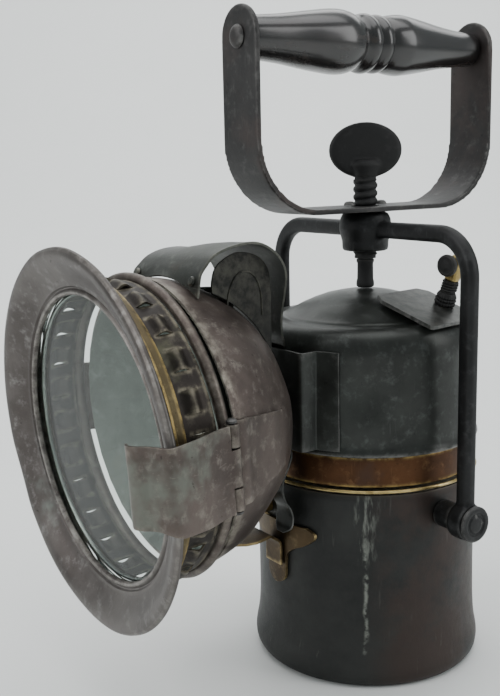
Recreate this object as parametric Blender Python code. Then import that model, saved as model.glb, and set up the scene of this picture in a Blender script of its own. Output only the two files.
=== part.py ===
"""Acetylene (carbide) hand lamp with a large bell front, built piece by piece in Blender.

Frame: metres, +Z up, origin at the centre of the canister's flat base. The beam points to -Y,
the handle's grip runs along Y, the yoke that clamps the water tank down runs along X.
All driving sizes below are in millimetres.
"""
import math

import bmesh
import bpy
import numpy as np
from mathutils import Matrix, Vector

# ---------------------------------------------------------------- driving sizes (mm)
MM = 0.001
GAP = 0.3                     # clearance left between pieces that touch

CAN_R = 38.0                  # carbide canister, outside
CAN_TOP = 66.2
FOOT_R = 39.7
WALL = 1.0
BEAD_R = 38.1                 # brass rim on the canister's mouth
BAND_R = 37.4                 # copper neck band between canister and tank
TANK_R = 38.2
TANK_BOTTOM = 78.7
TANK_SHOULDER = 111.0
TANK_TOP = 119.2
DOME_R = 27.5                 # where the dome meets the flat top
DOME_APEX = 128.0

PIVOT_Z = 58.0                # yoke rivets
YOKE_IN = 45.6                # inner face of a yoke leg
YOKE_T = 5.6                  # leg thickness across X
YOKE_W = 4.8                  # leg width along Y
YOKE_UNDER = 145.2            # underside of the yoke's bar
YOKE_BAR = 6.1
YOKE_BEND = 13.0
BOSS_R = 7.8
BOSS_BOTTOM = 141.0
BOSS_TOP = 154.0

STRAP_W = 19.0                # handle strap
STRAP_T = 1.8
STRAP_Z = 154.3               # underside of the strap
STRAP_HALF = 49.5             # middle of the strap to the screw's axis
STRAP_BEND = 23.0
GRIP_Z = 208.8
ROD_R = 2.0

SCREW_R = 4.1
SHANK_R = 3.05
WING_ANGLE = 56.0             # the wing's wide side faces the camera of the photo
WING_W = 24.6
WING_H = 18.6
WING_Z = 174.5

HEAD_Y = -96.0                # head frame: on the head's axis, leaning with it
HEAD_Z = 92.9
HEAD_TILT = 3.5               # degrees the beam dips
OPEN_R = 42.8                 # opening in front of the glass
DRUM_R = 45.0
BOWL_R = 45.3
BOWL_Y = 8.0                  # centre of the bowl's sphere, in the head frame
LOUVRES = 24

CLASP_X = 50.6                # clasp hinge pin, in the head frame
CLASP_Y = 8.0
CLASP_LOW = -12.3
CLASP_HIGH = 11.9

VALVE_TILT = 18.4             # lean of the valve deck
VALVE_TURN = 10.0             # direction it leans to, from +X towards +Y

for old in list(bpy.data.objects):
    bpy.data.objects.remove(old)

HEAD = Matrix.Translation((0, HEAD_Y, HEAD_Z)) @ Matrix.Rotation(math.radians(HEAD_TILT), 4, "X")
EYE = Matrix.Identity(4)


# ---------------------------------------------------------------- helpers
def material(name, colour, metallic, roughness, alpha=1.0):
    mat = bpy.data.materials.new(name)
    mat.use_nodes = True
    shader = mat.node_tree.nodes["Principled BSDF"]
    shader.inputs["Base Color"].default_value = (*colour, 1.0)
    shader.inputs["Metallic"].default_value = metallic
    shader.inputs["Roughness"].default_value = roughness
    shader.inputs["Alpha"].default_value = alpha
    mat.diffuse_color = (*colour, alpha)
    return mat


def make(name, verts, faces, look, matrix=EYE, pivot=(0, 0, 0), smooth=True):
    """Object from points in mm; its origin is put at pivot (mm, already in the row frame)."""
    pivot = Vector(pivot)
    mesh = bpy.data.meshes.new(name)
    points = [(matrix @ Vector(v) - pivot) * MM for v in verts]
    mesh.from_pydata(points, [], faces)
    mesh.update()
    bm = bmesh.new()
    bm.from_mesh(mesh)
    bmesh.ops.remove_doubles(bm, verts=bm.verts, dist=0.000002)
    bmesh.ops.recalc_face_normals(bm, faces=bm.faces)
    bm.to_mesh(mesh)
    bm.free()
    for face in mesh.polygons:
        face.use_smooth = smooth
    obj = bpy.data.objects.new(name, mesh)
    obj.location = pivot * MM
    bpy.context.scene.collection.objects.link(obj)
    if look is not None:
        mesh.materials.append(material(name, *look))
    return obj


def turned(name, profile, look, axis="Z", at=(0, 0, 0), matrix=EYE, segs=28, pivot=(0, 0, 0)):
    """Closed profile [(radius, height)] turned about an axis through `at`."""
    verts, faces, rings = [], [], []
    for r, h in profile:
        if r < 1e-6:
            rings.append([len(verts)])
            verts.append((0, 0, h))
            continue
        rings.append(list(range(len(verts), len(verts) + segs)))
        for i in range(segs):
            a = 2 * math.pi * i / segs
            verts.append((r * math.cos(a), r * math.sin(a), h))
    n = len(rings)
    for k in range(n):
        a, b = rings[k], rings[(k + 1) % n]
        if len(a) == 1 and len(b) == 1:
            continue
        for i in range(segs):
            j = (i + 1) % segs
            if len(a) == 1:
                faces.append((a[0], b[i], b[j]))
            elif len(b) == 1:
                faces.append((a[i], b[0], a[j]))
            else:
                faces.append((a[i], b[i], b[j], a[j]))
    turn = {"Z": EYE, "Y": Matrix(((1, 0, 0, 0), (0, 0, 1, 0), (0, -1, 0, 0), (0, 0, 0, 1))),
            "X": Matrix(((0, 0, 1, 0), (0, 1, 0, 0), (-1, 0, 0, 0), (0, 0, 0, 1)))}[axis]
    return make(name, verts, faces, look, matrix @ Matrix.Translation(at) @ turn, pivot)


def sheet(name, outer, inner, look, keep=None, wrap=False, matrix=EYE, pivot=(0, 0, 0)):
    """Solid from two grids of points; keep(i, j) leaves a cell in, wrap closes the i direction."""
    outer, inner = np.asarray(outer, float), np.asarray(inner, float)
    ni, nj = outer.shape[:2]
    verts = [tuple(p) for p in outer.reshape(-1, 3)] + [tuple(p) for p in inner.reshape(-1, 3)]
    half = ni * nj
    ci = ni if wrap else ni - 1
    cells = {(i, j) for i in range(ci) for j in range(nj - 1) if keep is None or keep(i, j)}
    faces = []
    for i, j in sorted(cells):
        i2 = (i + 1) % ni
        a, b, c, d = i * nj + j, i2 * nj + j, i2 * nj + j + 1, i * nj + j + 1
        faces.append((a, b, c, d))
        faces.append((half + d, half + c, half + b, half + a))
        for near, (p, q) in (((i, j - 1), (a, b)), ((i2 if wrap else i + 1, j), (b, c)),
                             ((i, j + 1), (c, d)), (((i - 1) % ni if wrap else i - 1, j), (d, a))):
            if near not in cells:
                faces.append((q, p, half + p, half + q))
    used = sorted({v for f in faces for v in f})
    number = {v: k for k, v in enumerate(used)}
    return make(name, [verts[v] for v in used], [tuple(number[v] for v in f) for f in faces],
                look, matrix, pivot)


def offset(path, by):
    """2D polyline moved sideways by `by` (to the left of its direction)."""
    path = np.asarray(path, float)
    out = []
    for k in range(len(path)):
        a = path[max(k - 1, 0)]
        b = path[min(k + 1, len(path) - 1)]
        before = path[k] - a if k else b - path[k]
        after = b - path[k] if k < len(path) - 1 else before
        n1 = np.array([-before[1], before[0]]) / np.hypot(*before)
        n2 = np.array([-after[1], after[0]]) / np.hypot(*after)
        n = n1 + n2
        n /= np.hypot(*n)
        out.append(path[k] + n * by / max(n @ n1, 0.5))
    return np.array(out)


def bend(points, radius, steps=5):
    """2D polyline with its inner corners rounded."""
    points = [np.asarray(p, float) for p in points]
    radii = radius if isinstance(radius, (list, tuple)) else [radius] * (len(points) - 2)
    out = [points[0]]
    for k in range(1, len(points) - 1):
        p, r = points[k], radii[k - 1]
        u, v = points[k - 1] - p, points[k + 1] - p
        u, v = u / np.hypot(*u), v / np.hypot(*v)
        half = math.acos(max(-1, min(1, float(u @ v)))) / 2
        if r <= 0 or half > math.pi / 2 - 0.01:
            out.append(p)
            continue
        reach = r / math.tan(half)
        centre = p + (u + v) / np.hypot(*(u + v)) * r / math.sin(half)
        a, b = p + u * reach - centre, p + v * reach - centre
        turn = math.atan2(a[0] * b[1] - a[1] * b[0], float(a @ b))
        for s in range(steps + 1):
            t = turn * s / steps
            out.append(centre + np.array([a[0] * math.cos(t) - a[1] * math.sin(t),
                                          a[0] * math.sin(t) + a[1] * math.cos(t)]))
    out.append(points[-1])
    return np.array(out)


def ribbon(name, path, thick, across, look, plane="YZ", keep=None, matrix=EYE, pivot=(0, 0, 0)):
    """Bent sheet: 2D path in a plane, `across` = list of levels, or one list of levels per point."""
    left, right = offset(path, thick / 2), offset(path, -thick / 2)

    def grid(side):
        rows = []
        for k, p in enumerate(side):
            levels = across[k] if hasattr(across[0], "__len__") else across
            if plane == "YZ":
                rows.append([(x, p[0], p[1]) for x in levels])
            elif plane == "XY":
                rows.append([(p[0], p[1], x) for x in levels])
            else:
                rows.append([(p[0], x, p[1]) for x in levels])
        return rows
    return sheet(name, grid(left), grid(right), look, keep, False, matrix, pivot)


def swept(name, path, section, look, closed_ends=True, bore=None, pivot=(0, 0, 0), matrix=EYE):
    """Section [(u, v)] carried along a 3D path; with `bore` the piece is a tube."""
    path = [Vector(p) for p in path]
    tangents = []
    for k in range(len(path)):
        a, b = path[max(k - 1, 0)], path[min(k + 1, len(path) - 1)]
        tangents.append((b - a).normalized())
    up = Vector((0, 1, 0)) if abs(tangents[0].y) < 0.9 else Vector((1, 0, 0))
    frames = []
    for t in tangents:
        side = up - t * up.dot(t)
        side.normalize()
        frames.append((side, t.cross(side)))
        up = side
    n = len(section)
    verts, faces = [], []

    def loops(shape):
        start = len(verts)
        for p, (u, v) in zip(path, frames):
            verts.extend(tuple(p + u * a + v * b) for a, b in shape)
        return start
    first = loops(section)
    for k in range(len(path) - 1):
        for i in range(n):
            j = (i + 1) % n
            faces.append((first + k * n + i, first + k * n + j,
                          first + (k + 1) * n + j, first + (k + 1) * n + i))
    last = first + (len(path) - 1) * n
    if bore is None:
        faces.append(tuple(first + i for i in reversed(range(n))))
        faces.append(tuple(last + i for i in range(n)))
    else:
        inside = loops(bore)
        end = inside + (len(path) - 1) * n
        for k in range(len(path) - 1):
            for i in range(n):
                j = (i + 1) % n
                faces.append((inside + k * n + j, inside + k * n + i,
                              inside + (k + 1) * n + i, inside + (k + 1) * n + j))
        for i in range(n):
            j = (i + 1) % n
            faces.append((first + j, first + i, inside + i, inside + j))
            faces.append((last + i, last + j, end + j, end + i))
    return make(name, verts, faces, look, matrix, pivot)


def circle(r, n=16):
    return [(r * math.cos(2 * math.pi * i / n), r * math.sin(2 * math.pi * i / n)) for i in range(n)]


def rounded(a, b, r, n=3):
    """Rounded rectangle a x b as a section."""
    out = []
    for cx, cy, start in ((a / 2 - r, b / 2 - r, 0), (-a / 2 + r, b / 2 - r, 90),
                          (-a / 2 + r, -b / 2 + r, 180), (a / 2 - r, -b / 2 + r, 270)):
        for k in range(n + 1):
            t = math.radians(start + 90 * k / n)
            out.append((cx + r * math.cos(t), cy + r * math.sin(t)))
    return out


def torus_profile(radius, height, small, n=10):
    return [(radius + small * math.cos(2 * math.pi * k / n),
             height + small * math.sin(2 * math.pi * k / n))
            for k in range(n)]


def cut(obj, tool, how="DIFFERENCE"):
    step = obj.modifiers.new(how.lower() + "_" + tool.name, "BOOLEAN")
    step.operation = how
    step.solver = "EXACT"
    step.object = tool
    tool.hide_render = True
    tool.display_type = "WIRE"


# ---------------------------------------------------------------- looks (colour, metallic, roughness)
BLACK_STEEL = ((0.055, 0.058, 0.062), 0.85, 0.45)
TANK_STEEL = ((0.085, 0.097, 0.102), 0.8, 0.38)
CAN_STEEL = ((0.105, 0.095, 0.088), 0.75, 0.5)
STRAP_STEEL = ((0.12, 0.105, 0.1), 0.8, 0.5)
BRONZE = ((0.2, 0.17, 0.145), 0.85, 0.42)
HOOD_STEEL = ((0.2, 0.21, 0.19), 0.8, 0.4)
BRASS = ((0.62, 0.47, 0.18), 1.0, 0.3)
OLD_BRASS = ((0.4, 0.33, 0.17), 0.95, 0.38)
COPPER = ((0.32, 0.18, 0.1), 0.9, 0.4)
TINNED = ((0.5, 0.52, 0.5), 1.0, 0.28)
RUBBER = ((0.02, 0.02, 0.02), 0.0, 0.8)
WOOD = ((0.02, 0.016, 0.015), 0.0, 0.3)
GLASS = ((0.75, 0.83, 0.8), 0.0, 0.05, 0.35)
STEATITE = ((0.75, 0.72, 0.64), 0.0, 0.6)
FELT = ((0.55, 0.5, 0.42), 0.0, 0.95)

# ---------------------------------------------------------------- carbide canister
canister = turned("carbide_canister", [
    (0, 0), (36.8, 0), (38.5, 0.9), (39.5, 2.8), (FOOT_R, 5.2), (39.3, 8), (38.5, 12), (38.1, 16),
    (CAN_R, 20), (CAN_R, CAN_TOP), (CAN_R - WALL, CAN_TOP), (CAN_R - WALL, 19.5), (37.3, 14),
    (38.1, 8.5),
    (38.4, 5), (37.4, 2.2), (35.5, 1.3), (0, 1.3)], CAN_STEEL)
turned("canister_rim_bead", torus_profile(BEAD_R, CAN_TOP + GAP + 0.85, 0.85, 6), BRASS)
turned("carbide_basket", [(0, 2.2), (35.2, 2.2), (35.2, 50.4), (36.2, 50.4), (36.2, 51.2),
                          (34.4, 51.2), (34.4, 3.1), (0, 3.1)], TINNED)
turned("gas_filter", [(9.0, 60.2), (35.8, 60.2), (35.8, 64.0), (9.0, 64.0)], FELT, segs=32)

# neck: soft seal, brass seat under the tank, copper band round it
turned("neck_seal", [(29.5, 68.3), (36.2, 68.3), (36.2, 71.0), (29.5, 71.0)], RUBBER)
turned("tank_seat", [(3.6, 71.4), (36.2, 71.4), (36.2, 78.3), (35.2, 78.3), (35.2, 72.6),
                     (3.6, 72.6)], OLD_BRASS)
turned("neck_band", [(36.6, 68.6), (BAND_R, 68.6), (BAND_R, 78.3), (36.6, 78.3)], COPPER)

# ---------------------------------------------------------------- water tank
SPHERE = (DOME_R ** 2 + (DOME_APEX - 119.6) ** 2) / (2 * (DOME_APEX - 119.6))


def dome_height(r, drop=0.0):
    return DOME_APEX - SPHERE + math.sqrt((SPHERE - drop) ** 2 - r * r)


tank = turned("water_tank", [
    (3.2, 79.0), (37.2, 79.0), (37.9, TANK_BOTTOM), (38.6, TANK_BOTTOM + 0.1), (38.7, 79.9),
    (TANK_R, 80.8), (TANK_R, TANK_SHOULDER), (37.8, 114.0), (36.9, 116.4), (35.5, 118.2),
    (33.6, TANK_TOP),
    (28.6, 119.5), (DOME_R, 119.9), (24, dome_height(24)), (18, dome_height(18)), (12, dome_height(12)),
    (6, dome_height(6)), (0, DOME_APEX), (0, DOME_APEX - 0.9), (8, dome_height(8, 0.9)),
    (16, dome_height(16, 0.9)), (24, dome_height(24, 0.9)), (27.2, 118.6), (33.2, 118.3),
    (36.2, 115.4), (37.2, 111.0), (37.2, 80.2), (3.2, 80.2)], TANK_STEEL)
swept("drip_tube", [(0, 0, 62), (0, 0, 70), (0, 0, 78), (0, 0, 86)], circle(2.7, 12), OLD_BRASS,
      bore=circle(1.4, 12))

# valve deck: flat plate soldered across the dome and the shoulder, leaning outwards
tangent_r = 15.0
LEAN = (Matrix.Rotation(math.radians(VALVE_TURN), 4, "Z")
        @ Matrix.Translation((tangent_r, 0, dome_height(tangent_r) + 0.35))
        @ Matrix.Rotation(math.radians(VALVE_TILT), 4, "Y"))
deck_outline = [(-2, -10), (2, -12.5), (23, -12.5), (23, 14), (1, 14), (-2, 11)]
deck_verts = [(x, y, 0) for x, y in deck_outline] + [(x, y, 1.2) for x, y in deck_outline]
n = len(deck_outline)
deck = make("valve_deck", deck_verts,
            [tuple(reversed(range(n))), tuple(range(n, 2 * n))]
            + [(i, (i + 1) % n, n + (i + 1) % n, n + i) for i in range(n)],
            TANK_STEEL, LEAN, smooth=False)
VALVE = LEAN @ Matrix.Translation((11.8, 8.5, 1.2))
VALVE_AT = VALVE @ Vector((0, 0, 0))
valve_hole = turned("cut_valve_hole", [(0, -9), (2.0, -9), (2.0, 3), (0, 3)], None, matrix=VALVE,
                    segs=16)
cut(deck, valve_hole)
cut(tank, valve_hole)
turned("valve_gland", [(1.9, 0.3), (3.3, 0.3), (3.5, 1.2), (3.1, 1.6), (3.5, 2.2), (3.1, 2.7),
                       (3.3, 3.3),
                       (2.7, 4.8), (1.9, 4.8)], BLACK_STEEL, matrix=VALVE, segs=18)
thread = []
for k in range(4):
    thread += [(2.35, 5.2 + 0.9 * k), (2.75, 5.65 + 0.9 * k)]
turned("valve_spindle", [(0, -8.5), (0.5, -8.3), (1.5, -6.5), (1.5, 5.1)] + thread + [(2.3, 8.8),
        (0, 8.8)],
       BLACK_STEEL, matrix=VALVE, segs=18, pivot=VALVE_AT)
knob_sections = [0.8, 1.0, 1.0, 0.9, 0.55]
knob_verts, knob_faces = [], []
shape = rounded(5.0, 4.0, 1.2, 2)
for z, s in zip((9.1, 10.0, 14.8, 16.8, 17.6), knob_sections):
    knob_verts += [(a * s, b * s, z) for a, b in shape]
m = len(shape)
for k in range(4):
    knob_faces += [(k * m + i, k * m + (i + 1) % m, (k + 1) * m + (i + 1) % m,
                    (k + 1) * m + i) for i in range(m)]
knob_faces += [tuple(reversed(range(m))), tuple(range(4 * m, 5 * m))]
make("valve_handle", knob_verts, knob_faces, BRASS, VALVE, VALVE_AT)
turned("valve_disc", [(0, 0), (1.6, 0), (1.9, 0.6), (3.2, 0.7), (3.6, 1.3), (3.6, 2.4), (2.9, 3.1),
                      (0, 3.3)], BLACK_STEEL,
       axis="Z", matrix=VALVE @ Matrix.Translation((-0.6, -2.35,
                                                    14.2)) @ Matrix.Rotation(math.radians(90), 4, "X"),
       segs=20, pivot=VALVE_AT)
pipe_start = VALVE @ Vector((0, 0, -9.4))
pipe = bend([(0.0, 0.0), (5.0, -9.0), (26.0, -26.0), (28.0, -34.0)], 4.0, 3)
way = Vector((-pipe_start.x, -pipe_start.y, 0)).normalized()
reach = math.hypot(pipe_start.x, pipe_start.y) - 5.4
pipe_path = [pipe_start + way * (p[0] * reach / 28.0) + Vector((0, 0, p[1] * 0.9)) for p in pipe]
swept("feed_pipe", pipe_path, circle(2.1, 8), OLD_BRASS, bore=circle(1.3, 8))

# socket on the tank's front that takes the hood's rear leg
half_box = bend([(23.6, -30.9), (16.9, -35.0), (17.2, -40.9), (0, -40.9)], [0.6, 0.9], 3)
socket_path = np.vstack([half_box[:-1], half_box[::-1] * np.array([-1, 1])])
ribbon("tank_socket", socket_path, 0.8, [80.6, 96.0, 112.6], TANK_STEEL, plane="XY")

# ---------------------------------------------------------------- yoke, its rivets
for side, sx in (("right", 1), ("left", -1)):
    turned("yoke_rivet_" + side, [
        (0, 38.4), (4.2, 38.5), (4.4, 38.9), (4.4, 44.9), (3.0, 45.0), (3.0, 51.6), (3.1, 51.75),
        (5.5, 51.8), (5.8, 52.2), (5.8, 52.8), (5.3, 53.3), (3.9, 53.3), (3.6, 52.9), (2.9, 52.9),
        (2.5, 53.3), (0, 53.4)], BLACK_STEEL,
        axis="X", at=(0, 0, PIVOT_Z), segs=16,
        matrix=EYE if sx > 0 else Matrix.Rotation(math.pi, 4, "Z"))
mid = YOKE_IN + YOKE_T / 2
bar_z = YOKE_UNDER + YOKE_BAR / 2
frame = bend([(mid, PIVOT_Z), (mid, bar_z), (-mid, bar_z), (-mid, PIVOT_Z)], YOKE_BEND, 6)
full = []
for k in range(len(frame) - 1):
    parts = 4 if np.hypot(*(frame[k + 1] - frame[k])) > 30 else 1
    for s in range(parts):
        full.append(frame[k] + (frame[k + 1] - frame[k]) * s / parts)
full.append(frame[-1])
PIVOT = (0, 0, PIVOT_Z)
yoke = swept("yoke", [(p[0], 0, p[1]) for p in full], rounded(YOKE_W, YOKE_T, 1.9, 2), BLACK_STEEL,
             pivot=PIVOT)
boss = turned("join_yoke_boss", [(0, BOSS_BOTTOM), (BOSS_R, BOSS_BOTTOM), (BOSS_R, 144.2), (8.6, 146),
                                 (8.9, 149),
                                 (8.6, 152), (7.6, BOSS_TOP), (0, BOSS_TOP)], None, segs=20)
cut(yoke, boss, "UNION")
for side, sx in (("right", 1), ("left", -1)):
    eye = turned("join_yoke_eye_" + side, [(0, 45.4), (5.4, 45.4), (5.9, 46.0), (5.9, 50.8),
                                           (5.4, 51.4), (0, 51.4)],
                 None, axis="X", at=(0, 0, PIVOT_Z), segs=20,
                 matrix=EYE if sx > 0 else Matrix.Rotation(math.pi, 4, "Z"))
    cut(yoke, eye, "UNION")
    cut(yoke, turned("cut_yoke_eye_" + side, [(0, 40), (3.35, 40), (3.35, 56), (0, 56)], None, axis="X",
                     at=(0, 0, PIVOT_Z), segs=16, matrix=EYE if sx > 0 else Matrix.Rotation(math.pi,
                             4, "Z")))
cut(yoke, turned("cut_yoke_bore", [(0, 130), (SCREW_R + 0.45, 130), (SCREW_R + 0.45, 160), (0, 160)],
                 None, segs=18))

# ---------------------------------------------------------------- handle
s_mid = STRAP_Z + STRAP_T / 2
strap_path = bend([(-STRAP_HALF, GRIP_Z), (-STRAP_HALF, s_mid), (STRAP_HALF, s_mid),
                   (STRAP_HALF, GRIP_Z)], STRAP_BEND, 8)
flat = [p for p in strap_path]
flat.insert(10, np.array([-9.0, s_mid]))
flat.insert(11, np.array([9.0, s_mid]))
strap_path = np.array(flat)
w = STRAP_W / 2
strap = ribbon("handle_strap", strap_path, STRAP_T, [-w, 0, w], STRAP_STEEL, pivot=PIVOT)
for side, sy in (("front", -1), ("back", 1)):
    cap = turned("join_strap_end_" + side, [(0, STRAP_HALF - STRAP_T / 2),
                                            (w, STRAP_HALF - STRAP_T / 2),
                                            (w, STRAP_HALF + STRAP_T / 2),
                                            (0, STRAP_HALF + STRAP_T / 2)], None,
                 axis="Y", at=(0, 0, GRIP_Z), segs=24,
                 matrix=EYE if sy > 0 else Matrix.Rotation(math.pi, 4, "Z"))
    cut(strap, cap, "UNION")
cut(strap, turned("cut_strap_rod", [(0, -60), (ROD_R + GAP, -60), (ROD_R + GAP, 60), (0, 60)], None,
                  axis="Y",
                  at=(0, 0, GRIP_Z), segs=16))
cut(strap, turned("cut_strap_screw", [(0, 150), (SCREW_R + 0.7, 150), (SCREW_R + 0.7, 160), (0, 160)],
                  None, segs=20))
turned("grip_rod", [(0, -52.2), (2.2, -52.0), (3.4, -51.2), (3.6, -50.75), (ROD_R, -50.7),
                    (ROD_R, 50.7), (3.6, 50.75),
                    (3.4, 51.2), (2.2, 52.0), (0, 52.2)], STRAP_STEEL, axis="Y", at=(0, 0, GRIP_Z),
                    segs=16, pivot=PIVOT)
grip_profile = [(6.3, -48.2), (6.5, -46), (7.6, -34), (9.3, -23), (10.2, -14.5), (9.9, -10),
                (8.8, -6.6), (8.4, -5.2),
                (8.6, -4.2), (9.4, -2.8), (9.4, -0.8), (8.6, 0.4), (8.6, 1.0), (9.2, 1.8), (9.2, 4.6),
                (8.5, 5.4),
                (8.5, 6.1), (9.0, 6.8), (9.8, 10.5), (9.9, 13.5), (9.3, 20), (7.4, 32), (6.0, 42),
                (5.8, 48.2)]
bore = [(ROD_R + 0.35, 48.2), (ROD_R + 0.35, -48.2)]
turned("wood_grip", grip_profile + bore, WOOD, axis="Y", at=(0, 0, GRIP_Z), segs=18,
       pivot=(0, 0, GRIP_Z))
for side, y in (("front", -6.9), ("back", 6.9)):
    turned("strap_rivet_" + side, [(0, STRAP_Z + STRAP_T + GAP), (1.9, STRAP_Z + STRAP_T + GAP),
                                   (1.6, 157.2),
                                   (0.9, 157.7), (0, 157.8)], STRAP_STEEL, at=(0, y, 0), segs=14,
                                   pivot=PIVOT)

# ---------------------------------------------------------------- pressure screw
turned("pressure_foot", [(0, 128.35), (SHANK_R - 0.4, 128.35), (SHANK_R, 128.8), (SHANK_R, 138.0),
                         (0, 138.0)],
       BLACK_STEEL, segs=22, pivot=(0, 0, 128.35))
screw_profile = [(0, 138.3), (3.7, 138.3), (3.9, 138.8), (3.9, 140.4), (3.5, 140.6)]
z = 141.0
while z < 165.5:
    screw_profile += [(3.65, z), (SCREW_R, z + 1.3)]
    z += 2.6
screw_profile += [(4.0, 166.2), (4.6, 168.0), (5.4, 169.4), (0, 169.6)]
screw = turned("thumb_screw", screw_profile, BLACK_STEEL, segs=16, pivot=(0, 0, 138.3))
wing_verts, wing_faces = [], []
wing_n = 22
for t, s in ((-1.9, 0.8), (-1.3, 0.96), (0, 1.0), (1.3, 0.96), (1.9, 0.8)):
    for i in range(wing_n):
        a = 2 * math.pi * i / wing_n
        wing_verts.append((WING_W / 2 * s * math.cos(a), t, WING_Z + WING_H / 2 * s * math.sin(a)))
for k in range(4):
    for i in range(wing_n):
        j = (i + 1) % wing_n
        wing_faces.append((k * wing_n + i, k * wing_n + j, (k + 1) * wing_n + j, (k + 1) * wing_n + i))
wing_faces += [tuple(reversed(range(wing_n))), tuple(range(4 * wing_n, 5 * wing_n))]
wing = make("join_screw_wing", wing_verts, wing_faces, None,
            Matrix.Rotation(math.radians(WING_ANGLE), 4, "Z"))
cut(screw, wing, "UNION")

# ---------------------------------------------------------------- head: bell, collar, glass
turned("bell_bezel", [
    (OPEN_R, -8.3), (44.2, -8.9), (44.9, -8.3), (46.0, -8.8), (50.0, -10.2), (54.0, -12.3),
    (55.2, -13.3), (56.4, -13.5), (57.2, -12.7),
    (57.1, -11.6), (56.2, -11.2), (54.6, -11.3), (50.0, -9.0), (46.9, -8.0), (46.2, -7.4),
    (46.2, -3.0), (45.4, -3.0), (45.4, -7.3),
    (44.6, -7.4), (OPEN_R, -7.4)], BRONZE, axis="Y", matrix=HEAD, segs=40)
turned("front_collar", [(46.6, -7.3), (48.1, -7.0), (47.6, -3.2), (46.6, -3.2)], OLD_BRASS,
       axis="Y", matrix=HEAD, segs=40)
turned("front_glass", [(0, -6.9), (43.8, -6.9), (43.8, -5.1), (0, -5.1)], GLASS, axis="Y",
       matrix=HEAD, segs=36)
turned("glass_ring", torus_profile(43.1, -4.0, 0.75, 4), TINNED, axis="Y", matrix=HEAD, segs=32)

# vent drum with a louvre slot every 15 degrees
drum_outer, drum_inner = [], []
drum_levels = (-2.7, -0.6, 4.4, 7.4)
for k in range(LOUVRES):
    for part in (-0.19, 0.19):
        a = 2 * math.pi * (k + 0.5 + part) / LOUVRES
        drum_outer.append([(DRUM_R * math.cos(a), y, DRUM_R * math.sin(a)) for y in drum_levels])
        drum_inner.append([((DRUM_R - 0.8) * math.cos(a), y,
                            (DRUM_R - 0.8) * math.sin(a)) for y in drum_levels])
sheet("vent_drum", drum_outer, drum_inner, BRONZE, keep=lambda i, j: not (i % 2 == 0 and j == 1),
      wrap=True, matrix=HEAD)
turned("bowl_bead", torus_profile(45.3, 9.4, 1.65, 6), BRONZE, axis="Y", matrix=HEAD, segs=36)

# bowl, chimney and reflector, opened for the gas pipe below and the chimney above
bowl_profile = []
for a in (6.5, 18, 34, 50, 66, 79):
    bowl_profile.append((BOWL_R * math.cos(math.radians(a)),
                         BOWL_Y + BOWL_R * math.sin(math.radians(a))))
bowl_profile.append((0, BOWL_Y + BOWL_R))
bowl_profile.append((0, BOWL_Y + BOWL_R - 0.9))
for a in (79, 66, 50, 34, 18, 6.5):
    bowl_profile.append(((BOWL_R - 0.9) * math.cos(math.radians(a)),
                         BOWL_Y + (BOWL_R - 0.9) * math.sin(math.radians(a))))
bowl_profile[-1] = (bowl_profile[-1][0], bowl_profile[0][1])
bowl = turned("lamp_bowl", bowl_profile, BRONZE, axis="Y", matrix=HEAD, segs=32)
APEX, DISH = 42.0, 57.0
dish_y = (11.4, 17, 25, 33, 38, 40.2)
dish_out = [(math.sqrt(DISH * (APEX - y)) + 0.35, y) for y in dish_y]
dish_in = [(math.sqrt(DISH * (APEX - y)) - 0.35, y - 0.2) for y in reversed(dish_y)]
reflector = turned("reflector", dish_out + dish_in, TINNED, axis="Y", matrix=HEAD, segs=28)
BURNER_Y = -66.0
pipe_hole = turned("cut_pipe_hole", [(0, 44), (3.7, 44), (3.7, 82), (0, 82)], None,
                   at=(0, BURNER_Y, 0), segs=20)
flue_hole = turned("cut_flue_hole", [(0, 108), (8.6, 108), (8.6, 150), (0, 150)], None,
                   at=(0, BURNER_Y + 2, 0), segs=24)
for piece in (bowl, reflector):
    cut(piece, pipe_hole)
    cut(piece, flue_hole)
turned("chimney", [(7.5, 118), (8.2, 118), (8.2, 133.0), (7.5, 133.0)],
       HOOD_STEEL,
       at=(0, BURNER_Y + 2, 0), segs=24)
PIPE_Z = 56.5
gas = [(-6, -33, PIPE_Z), (-6, -40, PIPE_Z), (-6, -52, PIPE_Z), (-5.6, -56, PIPE_Z + 0.3),
       (-4.0, -60.5, PIPE_Z + 1.6),
       (-1.9, -64.0, PIPE_Z + 4.4), (-0.4, -65.8, PIPE_Z + 8.5), (0, BURNER_Y, PIPE_Z + 13),
       (0, BURNER_Y, 79)]
swept("gas_pipe", gas, circle(2.4, 10), COPPER, bore=circle(1.5, 10))
entry = swept("cut_bowl_pipe", [(-6, -44, PIPE_Z), (-6, -52, PIPE_Z), (-5.6, -56, PIPE_Z + 0.3),
                                (-4.0, -60.5, PIPE_Z + 1.6),
                                (-1.9, -64.0, PIPE_Z + 4.4), (-0.4, -65.8, PIPE_Z + 8.5),
                                (0, BURNER_Y, PIPE_Z + 13)],
              circle(3.1, 16), None)
cut(bowl, entry)
cut(canister, turned("cut_can_pipe", [(0, -45), (2.8, -45), (2.8, -30), (0, -30)], None, axis="Y",
                     at=(-6, 0, PIPE_Z), segs=18))
turned("burner_holder", [(1.5, 79.3), (3.6, 79.3), (4.2, 80.2), (4.2, 82.2), (3.4, 83.0), (3.4, 85.2),
                         (1.5, 85.2)], BRASS,
       at=(0, BURNER_Y, 0), segs=18)
turned("burner_tip", [(0.9, 85.5), (2.8, 85.5), (3.0, 87.5), (2.2, 89.5), (2.6, 92.5), (1.6, 94.2),
                      (0.9, 94.2)], STEATITE,
       at=(0, BURNER_Y, 0), segs=16)

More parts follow.
